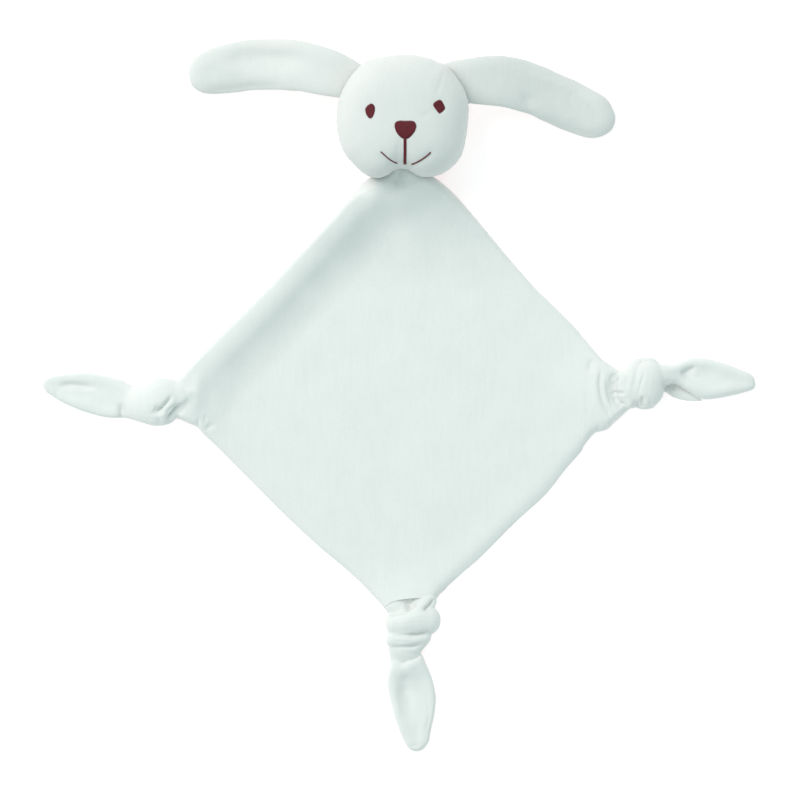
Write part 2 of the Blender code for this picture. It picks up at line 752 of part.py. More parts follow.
def ear_stations(side, start):
    """Sections of an ear from a distance along it to its tip: middle, across, up, distance left."""
    points, travelled = ear_spine(side)
    total = travelled[-1]
    setback = EAR_ROOT_SETBACK
    wanted = [start, start + setback / 2, start + setback]
    wanted += [lerp(start + setback, total - EAR_TIP_LENGTH, k / EAR_STEPS) for k in range(1, EAR_STEPS + 1)]
    for k in range(1, EAR_TIP_STEPS):
        wanted.append(total - EAR_TIP_LENGTH * (1 - math.sin(math.pi / 2 * k / EAR_TIP_STEPS)))
    wanted.append(total - SEAM_GAP)
    path = [point_at(points, travelled, distance) for distance in wanted]
    found = []
    for middle, along, distance in zip(path, tangents(path), wanted):
        across = along.cross(Vector((0, 0, 1))).normalized()
        found.append((middle, across, across.cross(along).normalized(), distance, total))
    return found


def point_at(points, travelled, distance):
    """The point at a distance along a path."""
    for i in range(1, len(points)):
        if travelled[i] >= distance:
            share = (distance - travelled[i - 1]) / (travelled[i] - travelled[i - 1])
            return points[i - 1].lerp(points[i], share)
    return points[-1].copy()


def ear_half_width(distance, total):
    """Half the ear's width: drawn in at the root, round at the tip."""
    width = lerp(EAR_ROOT_WIDTH, EAR_WIDTH, smoothstep(distance / EAR_DROOP)) / 2
    left = (total - distance) / EAR_TIP_LENGTH
    if left < 1:
        width *= max(1 - (1 - left) ** 2, 0) ** 0.5
    return width


def ear_half_height(distance, total):
    """Half the ear's thickness: thin and rounded at the root, thin again at the tip."""
    height = lerp(EAR_ROOT_THICKNESS, EAR_THICKNESS, smoothstep(distance / EAR_DROOP)) / 2
    if distance < EAR_ROOT_SETBACK:
        height = lerp(EAR_SKIN, height, math.sin(math.pi / 2 * distance / EAR_ROOT_SETBACK))
    left = (total - distance) / EAR_TIP_LENGTH
    if left < 1:
        height = lerp(EAR_SKIN, height, max(1 - (1 - left) ** 2, 0) ** 0.5)
    return height


def lens(share):
    """The rounded swell across an ear, from one edge to the other."""
    return max(0, 1 - share * share) ** EAR_LENS_POWER


def build_ear_panel(side, facing, name):
    """One cloth side of an ear: a curved strip with its own thickness, flattened where it lies."""
    shares = [lerp(-1, 1, k / EAR_SIDES) for k in range(EAR_SIDES + 1)]
    sign = 1 if facing == "front" else -1
    rings = []
    for middle, across, up, distance, total in ear_stations(side, 0):
        half = ear_half_width(distance, total)
        height = max(ear_half_height(distance, total), EAR_SKIN)
        rise = height - SEAM_GAP / 2
        outer = [(half * share, lens(share) * rise) for share in shares]
        inner_rise = max(rise - EAR_SKIN, 0)
        inner = [(half * EAR_INSIDE_SHARE * -share, lens(share) * inner_rise) for share in shares]
        ring = []
        for wide, high in outer + inner:
            point = middle + across * wide + up * (sign * (high + SEAM_GAP / 2))
            ring.append(floor_cut(point))
        rings.append(ring)
    return loft(rings, name, velour(name), ear_frame(side)[0])


def build_ear_wadding(side, name):
    """The thin filling of an ear, a flat lens between its two panels."""
    rings = []
    for middle, across, up, distance, total in ear_stations(side, WADDING_START):
        half = ear_half_width(distance, total) * WADDING_SHARE
        height = max(ear_half_height(distance, total), EAR_SKIN) - EAR_SKIN - SEAM_GAP
        if total - distance < EAR_TIP_LENGTH / 3 or height < SEAM_GAP:
            break
        ring = []
        for k in range(WADDING_SIDES):
            angle = 2 * math.pi * k / WADDING_SIDES
            point = middle + across * (half * math.cos(angle))
            point += up * (height * WADDING_SHARE * math.sin(angle))
            ring.append(Vector((point.x, point.y, max(point.z, EAR_SKIN + SEAM_GAP))))
        rings.append(ring)
    return loft(rings, name, material("polyester_filling", STUFFING_WHITE, 1), ear_frame(side)[0])


def build_ears():
    """Both ears: two cloth panels and a thin wadding each."""
    for side in ("left", "right"):
        build_ear_panel(side, "front", f"ear_{side}_front_panel")
        build_ear_panel(side, "back", f"ear_{side}_back_panel")
        build_ear_wadding(side, f"ear_{side}_wadding")


# Knots

def torus_knot_point(turn):
    """A point of an overhand knot with its ends drawn out along X.

    It is a trefoil on a torus in four dimensions, seen from one of its own points, which opens it.
    """
    wide, deep = math.cos(KNOT_TORUS_ANGLE), math.sin(KNOT_TORUS_ANGLE)
    p = np.array([wide * math.cos(2 * turn), wide * math.sin(2 * turn),
                  deep * math.cos(3 * turn), deep * math.sin(3 * turn)])
    eye = np.array([wide, 0, deep, 0])
    along = np.array([0, 2 * wide, 0, 3 * deep])
    along /= np.linalg.norm(along)
    across = np.array([-deep, 0, wide, 0])
    over = np.array([0, 3 * deep, 0, -2 * wide])
    over /= np.linalg.norm(over)
    return Vector((p @ along, p @ across, p @ over)) / (1 - p @ eye)


def knot_core(count):
    """The tied part of the knot, of unit size."""
    return [torus_knot_point(lerp(KNOT_CUT_ANGLE, 2 * math.pi - KNOT_CUT_ANGLE, k / count))
            for k in range(count + 1)]


def least_gap(path, radii):
    """The least distance between the surfaces of two stretches of one strand."""
    places = np.array([tuple(point) for point in path])
    steps = np.linalg.norm(np.diff(places, axis=0), axis=1)
    travelled = np.concatenate([[0], np.cumsum(steps)])
    apart = np.linalg.norm(places[:, None] - places[None], axis=2)
    along = np.abs(travelled[:, None] - travelled[None])
    reach = np.array(radii)[:, None] + np.array(radii)[None]
    other_stretch = along > np.maximum(STRAND_RUN_SHARE * apart, STRAND_REACH_SHARE * reach)
    return float((apart - reach)[other_stretch].min())


def corner(side):
    """A knotted corner: its hinge, the way it leaves the blanket, width, knot reach and shift, tail."""
    setback = HINGE_GAP + KNOT_ROOT_RADIUS
    root_z = KNOT_ROOT_RADIUS + SEAM_GAP
    if side == "left":
        return (Vector((LEFT_END_X - setback, LEFT_END_Y, root_z)), Vector((-1, 0, 0)), LEFT_END_WIDTH,
                KNOT_REACH_LEFT, Vector((0, KNOT_SHIFT_LEFT, 0)), TAIL_LEFT_LENGTH, TAIL_LEFT_SWAY)
    if side == "right":
        return (Vector((RIGHT_END_X + setback, RIGHT_END_Y, root_z)), Vector((1, 0, 0)), RIGHT_END_WIDTH,
                KNOT_REACH_RIGHT, Vector((0, KNOT_SHIFT_RIGHT, 0)), TAIL_RIGHT_LENGTH, TAIL_RIGHT_SWAY)
    return (Vector((BOTTOM_END_X, BOTTOM_END_Y - setback, root_z)), Vector((0, -1, 0)), BOTTOM_END_WIDTH,
            KNOT_REACH_BOTTOM, Vector((KNOT_SHIFT_BOTTOM, 0, 0)), TAIL_BOTTOM_LENGTH, TAIL_BOTTOM_SWAY)


def knot_scale():
    """How large the unit knot is for its strand to pass itself in the middle with its gap."""
    passing = torus_knot_point(math.pi * KNOT_WAIST_SHARE)
    return (STRAND + KNOT_SELF_GAP) / (2 * abs(passing.z))


def knot_path(side):
    """The middle line of a corner's strand: gathered root, tied knot, and exit towards the tail."""
    hinge, out, _, reach, shift, _, _ = corner(side)
    across = Vector((0, 0, 1)).cross(out)
    scale = knot_scale()
    core = [Vector((-p.x * KNOT_LENGTH_SHARE, p.z, p.y * KNOT_HEIGHT_SHARE)) * scale
            for p in knot_core(KNOT_SPANS)]
    middle = hinge + out * reach + shift
    middle.z = STRAND / 2 - FLAT_CUT - min(p.z for p in core)
    tied = [middle + out * p.x + across * p.y + Vector((0, 0, p.z)) for p in core]
    end = middle + out * KNOT_EXIT
    end.z = KNOT_EXIT_Z
    run = out * KNOT_EXIT_RUN
    path = [hinge, hinge + run] + tied + [end - run * step for step in (2, 1, 0)]
    return smooth_curve(path, KNOT_STEPS), end


def root_rise(share):
    """How high a rounded root stands at a share of its radius back from the hinge."""
    return math.sqrt(max(1 - share * share, ROOT_END_SHARE ** 2))


def knot_spread(point, side):
    """How far a point of the strand lies from the line through the knot's middle."""
    hinge, out, _, _, shift, _, _ = corner(side)
    middle = hinge + shift
    middle.z = KNOT_EXIT_Z + STRAND / 2
    offset = point - middle
    return (offset - out * offset.dot(out)).length


def build_knot(side):
    """One corner: cloth gathered from the blanket's width into a strand, and tied in an overhand knot."""
    hinge, out, width, reach, _, _, _ = corner(side)
    name = f"knot_{side}"
    curve, _ = knot_path(side)
    root = KNOT_ROOT_RADIUS
    nose = [hinge - out * root * share for share in ROOT_SHARES]
    path = nose + curve
    wide = (width - KNOT_ROOT_MARGIN) / 2
    gathered = reach - STRAND * KNOT_LENGTH_SHARE
    root_side = out.cross(Vector((0, 0, 1)))
    sections = []
    turned_in = False
    for i, (point, (side_way, up)) in enumerate(zip(path, frames(path, Vector((0, 0, 1)), out))):
        travelled = (point - hinge).dot(out)
        turned_in = turned_in or travelled > gathered
        share = 1 if turned_in else smoothstep(max(travelled, 0) / gathered)
        spread = knot_spread(point, side) / knot_scale() - KNOT_SWELL_SHARE
        strand = STRAND / 2 + KNOT_SWELL * smoothstep(spread)
        half_width = lerp(wide, strand, share)
        half_height = lerp(root, strand, share)
        if i < len(nose):
            half_height = root * root_rise(travelled / root)
        side_way = root_side.lerp(side_way, share).normalized()
        sections.append((point, side_way, up, half_width, half_height))
    rings = []
    for point, side_way, up, half_width, half_height in sections:
        ring = []
        for k in range(KNOT_SIDES):
            angle = 2 * math.pi * k / KNOT_SIDES
            ring.append(floor_cut(point + side_way * (half_width * math.cos(angle))
                                  + up * (half_height * math.sin(angle))))
        rings.append(ring)
    tied = [section for section in sections if section[3] < STRAND * STRAND_NECK_SHARE]
    gap = least_gap([section[0] for section in tied], [section[3] for section in tied])
    print(f"{name}: least gap of the strand to itself {gap * 1000:.2f} mm")
    loft(rings, name, velour(name), hinge)


# Tails

def tail_hinge(side):
    """Where a tail bends against its knot."""
    out = corner(side)[1]
    end = knot_path(side)[1]
    return end + out * (HINGE_GAP + TAIL_ROOT_RADIUS)


def build_tail(side):
    """The leaf of cloth beyond a knot: a rounded root, then a cupped leaf that comes to a soft point."""
    _, out, _, _, _, length, sway = corner(side)
    name = f"tail_{side}"
    hinge = tail_hinge(side)
    across = Vector((0, 0, 1)).cross(out)
    root = TAIL_ROOT_RADIUS
    rest_z = TAIL_THICKNESS / 2 - FLAT_CUT
    stations = [-root * share for share in ROOT_SHARES]
    stations += [TAIL_FLARE * k / TAIL_FLARE_STEPS for k in range(TAIL_FLARE_STEPS + 1)]
    stations += [lerp(TAIL_FLARE, length, k / TAIL_STEPS) for k in range(1, TAIL_STEPS)]
    stations += [lerp(TAIL_FLARE, length, TAIL_LAST_STATION_SHARE), length]
    rings = []
    for along in stations:
        share = max(along, 0) / length
        flare = smoothstep(max(along, 0) / TAIL_FLARE)
        point = max(along - TAIL_FLARE, 0) / (length - TAIL_FLARE)
        narrow = math.sqrt(max(1 - point ** TAIL_POINT_POWER, TAIL_POINT_SHARE ** 2))
        half = lerp(TAIL_ROOT_WIDTH, TAIL_WIDTH, flare) / 2 * narrow
        high = lerp(root, TAIL_THICKNESS / 2, flare) * lerp(1, max(narrow, TAIL_POINT_HEIGHT_SHARE), flare)
        if along < 0:
            high = root * root_rise(along / root)
        middle = hinge + out * along + across * (sway * sway_sign(side) * share ** TAIL_SWAY_POWER)
        middle.z = lerp(hinge.z, rest_z, smoothstep(max(along, 0) / (TAIL_FLARE * TAIL_SETTLE_SHARE)))
        hollow = TAIL_HOLLOW * flare * narrow * (1 - point)
        rings.append([floor_cut(p) for p in leaf_ring(middle, across, half, high, hollow)])
    loft(rings, name, velour(name), hinge)


def sway_sign(side):
    """Tails sway towards +Y on the sides and towards +X at the bottom."""
    return -1 if side == "left" else 1


def leaf_ring(middle, across, half, high, hollow):
    """A section of a leaf: a flat oval whose upper side is cupped."""
    ring = []
    for k in range(TAIL_SIDES):
        angle = 2 * math.pi * k / TAIL_SIDES
        wide = math.cos(angle)
        rise = math.sin(angle) * high
        if rise > 0:
            rise -= hollow * (1 - wide * wide)
        ring.append(middle + across * (half * wide) + Vector((0, 0, rise)))
    return ring


def main():
    """Build every piece."""
    clear_scene()
    build_back_panel()
    build_front_panel()
    build_neck()
    build_neck_stitching()
    build_head()
    build_face()
    build_ears()
    for side in ("left", "right", "bottom"):
        build_knot(side)
        build_tail(side)


main()
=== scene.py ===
"""Comfort blanket lovey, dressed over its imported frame: cloth, knots, stuffed head, ears and embroidery.

Places said to be in pixels are read off the 800 x 800 view from straight above. Tables hold millimetres where
their comments say mm; all else is in metres.
"""
import math

import bmesh
import bpy
import numpy as np
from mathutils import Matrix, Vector, geometry, noise
from mathutils.kdtree import KDTree


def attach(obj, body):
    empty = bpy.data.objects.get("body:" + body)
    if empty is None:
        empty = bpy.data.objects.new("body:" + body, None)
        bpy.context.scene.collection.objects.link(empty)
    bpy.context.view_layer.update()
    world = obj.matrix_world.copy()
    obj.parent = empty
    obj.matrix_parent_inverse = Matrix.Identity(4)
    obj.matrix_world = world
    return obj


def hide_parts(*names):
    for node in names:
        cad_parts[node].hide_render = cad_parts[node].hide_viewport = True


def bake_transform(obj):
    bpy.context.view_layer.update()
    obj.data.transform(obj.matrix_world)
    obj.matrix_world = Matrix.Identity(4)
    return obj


bl_info = {
    "name": "Comfort Blanket Lovey",
    "version": (1, 0, 0),
    "blender": (4, 5, 0),
    "location": "3D View > Sidebar > Lovey",
    "description": "Dresses a knotted comfort blanket with a stuffed bunny head",
    "category": "Add Mesh",
}

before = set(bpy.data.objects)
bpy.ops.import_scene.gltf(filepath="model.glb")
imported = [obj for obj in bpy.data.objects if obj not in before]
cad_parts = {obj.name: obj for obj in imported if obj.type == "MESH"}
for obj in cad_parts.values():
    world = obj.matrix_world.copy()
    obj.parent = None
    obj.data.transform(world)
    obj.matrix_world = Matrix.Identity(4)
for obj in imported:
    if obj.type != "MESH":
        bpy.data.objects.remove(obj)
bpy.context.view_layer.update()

MM = 0.001
PIXEL = 0.00049
ORIGIN_X = 399.0
ORIGIN_Y = 395.0
VIEW_WIDTH = 0.392
CAMERA_HEIGHT = 12.0

# Where the head's panels meet, and the neck opening below it
SEAM_Z = 0.0240
NECK_X = 0.0018
NECK_Z = 0.0125
NECK_END_Y = 0.1105

# Long edges of the blanket and of its gathered corners, in pixels
EDGE_TOP_LEFT = (
    (389.5, 150), (389.5, 160), (387, 167), (381, 172), (370, 177.5), (345, 197.5), (327.5, 220), (300, 250),
    (260, 292.5), (225, 327.5), (200, 352.5), (188, 366), (179, 376), (170, 381), (160, 384), (146, 388))
EDGE_BOTTOM_LEFT = (
    (146, 414), (160, 418), (172, 418), (180, 419.5), (190, 424), (197, 427), (203, 434), (217.5, 447.5),
    (250, 480), (285, 515), (320, 547.5), (350, 572.5), (372.5, 595), (384, 608), (390, 617), (393, 632),
    (394, 646))
EDGE_BOTTOM_RIGHT = (
    (428, 646), (431, 632), (434, 614), (437, 598), (460, 575), (480, 557.5), (515, 522.5), (545, 495),
    (565, 470), (582.5, 450), (595, 433), (601, 431.5), (608, 429), (614, 423), (621, 417), (632, 407),
    (646, 400))
EDGE_TOP_RIGHT = (
    (646, 372), (632, 371), (620, 370), (612, 366), (605, 361), (600, 357), (575, 327.5), (550, 302.5),
    (530, 282.5), (500, 247.5), (475, 217.5), (452.5, 192.5), (435, 178), (425, 172.5), (419, 167),
    (416.5, 160), (416.5, 150))

# Where the middle cloth ends over the corner pieces, in pixels
SPLIT_LEFT = ((199, 353.5), (205, 370), (208, 390), (209, 410), (206, 425), (205, 436))
SPLIT_BOTTOM = ((384, 608), (392, 602), (405, 599), (420, 598), (437, 598))
SPLIT_RIGHT = ((582.5, 450), (585, 432), (586, 410), (585, 385), (583, 360), (580, 333))


# Places and curves

FLOW_SAMPLES = 16
LINE_BATCH = 3000
LIP_EDGE = 0.0004


def px(points):
    """Places in pixels as (x, y) in metres."""
    places = np.array(points, float)
    return np.stack([(places[:, 0] - ORIGIN_X) * PIXEL, (ORIGIN_Y - places[:, 1]) * PIXEL], 1)


def smoothstep(share):
    """An even rise from 0 to 1."""
    share = np.clip(share, 0, 1)
    return share * share * (3 - 2 * share)


def lerp(low, high, share):
    """A value between two others."""
    return low + (high - low) * share


def flow(points, spacing, closed=False):
    """A smooth curve through points of two or more values, in even steps along the first two or three."""
    points = np.array(points, float)
    if closed:
        ends = np.vstack([points[-1:], points, points[:2]])
    else:
        ends = np.vstack([2 * points[:1] - points[1:2], points, 2 * points[-1:] - points[-2:-1]])
    t = np.linspace(0, 1, FLOW_SAMPLES, endpoint=False)[:, None]
    curve = []
    for a, b, c, d in zip(ends, ends[1:], ends[2:], ends[3:]):
        curve.append((2 * b + (c - a) * t + (2 * a - 5 * b + 4 * c - d) * t ** 2
                      + (3 * b - a - 3 * c + d) * t ** 3) / 2)
    curve = np.vstack(curve + [ends[-2:-1]])
    steps = np.linalg.norm(np.diff(curve[:, :3], axis=0), axis=1)
    travelled = np.concatenate([[0], np.cumsum(steps)])
    count = max(2, int(round(travelled[-1] / spacing)))
    wanted = np.linspace(0, travelled[-1], count + 1)
    even = np.stack([np.interp(wanted, travelled, curve[:, k]) for k in range(curve.shape[1])], 1)
    return even[:-1] if closed else even


def to_line(places, line):
    """How far each place is from a line, the share along the line, and on which side, left of it positive."""
    start, way = line[:-1], np.diff(line, axis=0)
    length = np.maximum((way ** 2).sum(1), 1e-18)
    travelled = np.concatenate([[0], np.cumsum(np.sqrt(length))])
    found = []
    for part in np.array_split(places, max(1, len(places) // LINE_BATCH)):
        offset = part[:, None] - start[None]
        t = np.clip((offset * way[None]).sum(2) / length, 0, 1)
        gap = offset - t[..., None] * way[None]
        distance = np.sqrt((gap ** 2).sum(2))
        k = distance.argmin(1)
        row = np.arange(len(part))
        side = np.sign(way[k, 0] * offset[row, k, 1] - way[k, 1] * offset[row, k, 0])
        share = (travelled[k] + t[row, k] * np.sqrt(length[k])) / travelled[-1]
        found.append(np.stack([distance[row, k], share, side], 1))
    return np.vstack(found).T


def fold(places, points, width, rise, fade, power):
    """A soft ridge, or a valley where rise is negative, along a line given in pixels.

    A power of 0 makes it the lip of an overlap, high on the left of the line and low on its right.
    """
    distance, share, side = to_line(places, flow(px(points), MM))
    taper = smoothstep(np.minimum(share, 1 - share) / fade)
    if power == 0:
        return rise * taper * np.tanh(side * distance / LIP_EDGE) * np.exp(-(distance / width) ** 2)
    return rise * taper * np.exp(-(distance / width) ** power)


def add_folds(heights, places, table):
    """Heights with folds laid on them: line in pixels, half width mm, rise mm, fade share, power."""
    for points, width, rise, fade, power in table:
        heights = heights + fold(places, points, width * MM, rise * MM, fade, power)
    return heights


def spot(places, middle, reach):
    """A weight of 1 at a place given in pixels, which fades over a reach."""
    return np.exp(-((places - px([middle])[0]) ** 2).sum(1) / reach ** 2)


def rumple(places, reach, seed):
    """Gentle unevenness between -1 and 1, of a given reach."""
    return np.array([noise.noise(Vector((x / reach, y / reach, seed))) for x, y in places])


def uneven(places, *rumples):
    """The sum of rumples: height, reach, seed."""
    return sum(height * rumple(places, reach, seed) for height, reach, seed in rumples)


def rounded(depth, radius):
    """The round rise from 0 at a rim to 1 at a depth of one radius."""
    return np.sqrt(np.clip(1 - (1 - np.clip(depth / radius, 0, 1)) ** 2, 0, 1))


def inside(places, outline):
    """Which places lie inside a closed outline."""
    x, y = places[:, 0], places[:, 1]
    found = np.zeros(len(places), bool)
    for (ax, ay), (bx, by) in zip(outline, np.roll(outline, -1, 0)):
        crossing = (ay > y) != (by > y)
        if ay != by:
            found ^= crossing & (x < (bx - ax) * (y - ay) / (by - ay) + ax)
    return found


# Meshes

TABLE_GAP = 0.0002
SHARP_ANGLE = math.radians(62)
RIM_ANGLES = (0.22, 0.45, 0.7, 0.95, 1.25, 1.57)
ROW_HEIGHT = 0.87
GRID_MARGIN = 0.6
CDT_INSIDE = 1
CDT_EPSILON = 1e-7
TUBE_SIDES = 20
TUBE_SPACING = 0.0008
CAP_SHARES = (0.99, 0.9, 0.7, 0.4)
STEEP = 0.15
EASE = 0.5
FACING_START = -0.15
FACING_RUN = 0.5


def add_object(name, vertices, faces, finish=None):
    """A new smooth mesh object at the origin."""
    mesh = bpy.data.meshes.new(name)
    mesh.from_pydata([tuple(v) for v in vertices], [], [tuple(f) for f in faces])
    mesh.update()
    mesh.shade_smooth()
    mesh.set_sharp_from_angle(angle=SHARP_ANGLE)
    if finish:
        mesh.materials.append(finish)
    made = bpy.data.objects.new(name, mesh)
    bpy.context.scene.collection.objects.link(made)
    return made


def copy_of(obj):
    """A copy with a mesh of its own."""
    made = obj.copy()
    made.data = obj.data.copy()
    bpy.context.scene.collection.objects.link(made)
    return made


def weave(rows, count, closed=True, flip=False):
    """Faces between rows of count places each, running round where closed, turned over where flip."""
    faces = []
    for a in range(0, (rows - 1) * count, count):
        b = a + count
        for k in range(count if closed else count - 1):
            j = (k + 1) % count
            faces.append((a + j, a + k, b + k, b + j) if flip else (a + k, a + j, b + j, b + k))
    return faces


def fan(first, count, pole, closed=True, flip=False):
    """Faces from a row of count places to a single one."""
    faces = []
    for k in range(count if closed else count - 1):
        a, b = first + k, first + (k + 1) % count
        faces.append((b, a, pole) if flip else (a, b, pole))
    return faces


def pillow(name, outline, spacing, rim, heights, finish=None):
    """Cloth over a closed outline, with a rolled rim and an even inside.

    heights gives the top, the middle and the underside over places.
    """
    area = (outline[:, 0] * np.roll(outline[:, 1], -1) - outline[:, 1] * np.roll(outline[:, 0], -1)).sum()
    if area < 0:
        outline = outline[::-1]
    way = np.roll(outline, -1, 0) - np.roll(outline, 1, 0)
    inward = np.stack([-way[:, 1], way[:, 0]], 1) / np.linalg.norm(way, axis=1)[:, None]
    rings = [outline + inward * rim * (1 - math.cos(angle)) for angle in RIM_ANGLES]
    low, high = outline.min(0), outline.max(0)
    xs = np.arange(low[0], high[0], spacing)
    ys = np.arange(low[1], high[1], spacing * ROW_HEIGHT)
    grid = np.array([(x + (row % 2) * spacing / 2, y) for row, y in enumerate(ys) for x in xs])
    grid = grid[inside(grid, outline)]
    closed = np.vstack([outline, outline[:1]])
    grid = grid[to_line(grid, closed)[0] > rim + spacing * GRID_MARGIN]
    count = len(outline)
    loop = list(range(count))
    verts, _, tris, origins, _, _ = geometry.delaunay_2d_cdt(
        [Vector(p) for p in np.vstack(rings + [grid])], [(i, (i + 1) % count) for i in loop], [loop],
        CDT_INSIDE, CDT_EPSILON)
    back = {source: k for k, sources in enumerate(origins) for source in sources}
    flat = np.array([tuple(v) for v in verts])
    top, _, under = heights(flat)
    _, middle, _ = heights(outline)
    layers = ((flat, top), (flat, under), (outline, middle))
    vertices = np.vstack([np.column_stack(layer) for layer in layers])
    n = len(flat)
    faces = []
    for a, b, c in tris:
        if np.cross(flat[b] - flat[a], flat[c] - flat[a]) <= 0:
            b, c = c, b
        faces.append((a, b, c))
        faces.append((n + c, n + b, n + a))
    for i in loop:
        j = (i + 1) % count
        faces.append((2 * n + i, 2 * n + j, back[j], back[i]))
        faces.append((2 * n + j, 2 * n + i, n + back[i], n + back[j]))
    return add_object(name, vertices, faces, finish)


def tube_lobe(points):
    """A closed swept form through (x px, y px, z mm, half width mm, half height mm) points."""
    points = np.array(points, float)
    line = flow(np.column_stack([px(points[:, :2]), points[:, 2:] * MM]), TUBE_SPACING)
    core = line[:, :3]
    along = np.gradient(core, axis=0)
    along /= np.linalg.norm(along, axis=1)[:, None]
    side = np.cross(along, (0, 0, 1))
    length = np.linalg.norm(side, axis=1)
    for k in range(1, len(side)):
        if length[k] < STEEP:
            side[k] = side[k - 1]
    side /= np.linalg.norm(side, axis=1)[:, None]
    up = np.cross(side, along)
    caps = []
    for end, sign in ((0, -1), (-1, 1)):
        caps.append([])
        for share in CAP_SHARES:
            reach = min(line[end, 3], line[end, 4]) * math.sqrt(1 - share * share)
            caps[-1].append((core[end] + sign * along[end] * reach, side[end], up[end],
                             line[end, 3] * share, line[end, 4] * share))
    body = [(core[k], side[k], up[k], line[k, 3], line[k, 4]) for k in range(len(line))]
    sections = caps[0][::-1] + body + caps[1]
    vertices = []
    for middle, across, rise, wide, tall in sections:
        for k in range(TUBE_SIDES):
            angle = 2 * math.pi * k / TUBE_SIDES
            vertices.append(middle + across * wide * math.cos(angle) + rise * tall * math.sin(angle))
    ends = [tuple(reversed(range(TUBE_SIDES))), tuple(range(len(vertices) - TUBE_SIDES, len(vertices)))]
    return add_object("lobe", vertices, weave(len(sections), TUBE_SIDES) + ends)


def only(*objects):
    """Make some objects the selected ones and the first of them active."""
    bpy.ops.object.select_all(action="DESELECT")
    for each in objects:
        each.select_set(True)
    bpy.context.view_layer.objects.active = objects[0]


def join(name, parts):
    """Join several objects into one."""
    only(*parts)
    bpy.ops.object.join()
    made = bpy.context.view_layer.objects.active
    made.name = name
    made.data.name = name
    return made


def apply_step(obj, kind, **settings):
    """Add a modifier with its settings and apply it."""
    only(obj)
    step = obj.modifiers.new("step", kind)
    for name, value in settings.items():
        setattr(step, name, value)
    bpy.ops.object.modifier_apply(modifier=step.name)


def soften(obj, rounds):
    """Ease a mesh all over."""
    apply_step(obj, "SMOOTH", factor=EASE, iterations=rounds)


def knead(obj, voxel, rounds):
    """Melt joined lobes into one skin and soften it."""
    apply_step(obj, "REMESH", mode="VOXEL", voxel_size=voxel)
    soften(obj, rounds)
    obj.data.shade_smooth()


def paint(obj, finish):
    """Give an object one finish in place of any other."""
    obj.data.materials.clear()
    obj.data.materials.append(finish)


def read_vertices(obj):
    """The vertices of a mesh as an array."""
    co = np.zeros(len(obj.data.vertices) * 3)
    obj.data.vertices.foreach_get("co", co)
    return co.reshape(-1, 3)


def write_vertices(obj, co):
    """Put changed vertices back."""
    obj.data.vertices.foreach_set("co", co.ravel())
    obj.data.update()


def read_normals(obj):
    """The vertex normals of a mesh as an array."""
    normals = np.zeros(len(obj.data.vertices) * 3)
    obj.data.vertex_normals.foreach_get("vector", normals)
    return normals.reshape(-1, 3)


def press(obj, creases):
    """Press folds into the upper side of a kneaded form, and keep it above the table."""
    co = read_vertices(obj)
    normals = read_normals(obj)
    facing = smoothstep((normals[:, 2] - FACING_START) / FACING_RUN)
    depth = add_folds(np.zeros(len(co)), co[:, :2], creases)
    co += normals * (depth * facing)[:, None]
    co[:, 2] = np.maximum(co[:, 2], TABLE_GAP)
    write_vertices(obj, co)


# Materials

NAP = 0.5
TIE_WHITE = (0.7, 0.74, 0.72)


def set_inputs(node, **values):
    """Set inputs of a node, an underscore standing for each space in their names."""
    for name, value in values.items():
        node.inputs[name.replace("_", " ")].default_value = value
    return node


def wire(tree, *pairs):
    """Join pairs of sockets."""
    for source, target in pairs:
        tree.links.new(source, target)


def new_finish(name, specular):
    """A new material that isn't a metal, with its node tree and its shader."""
    made = bpy.data.materials.new(name)
    made.use_nodes = True
    tree = made.node_tree
    return made, tree, set_inputs(tree.nodes["Principled BSDF"], Metallic=0, Specular_IOR_Level=specular)


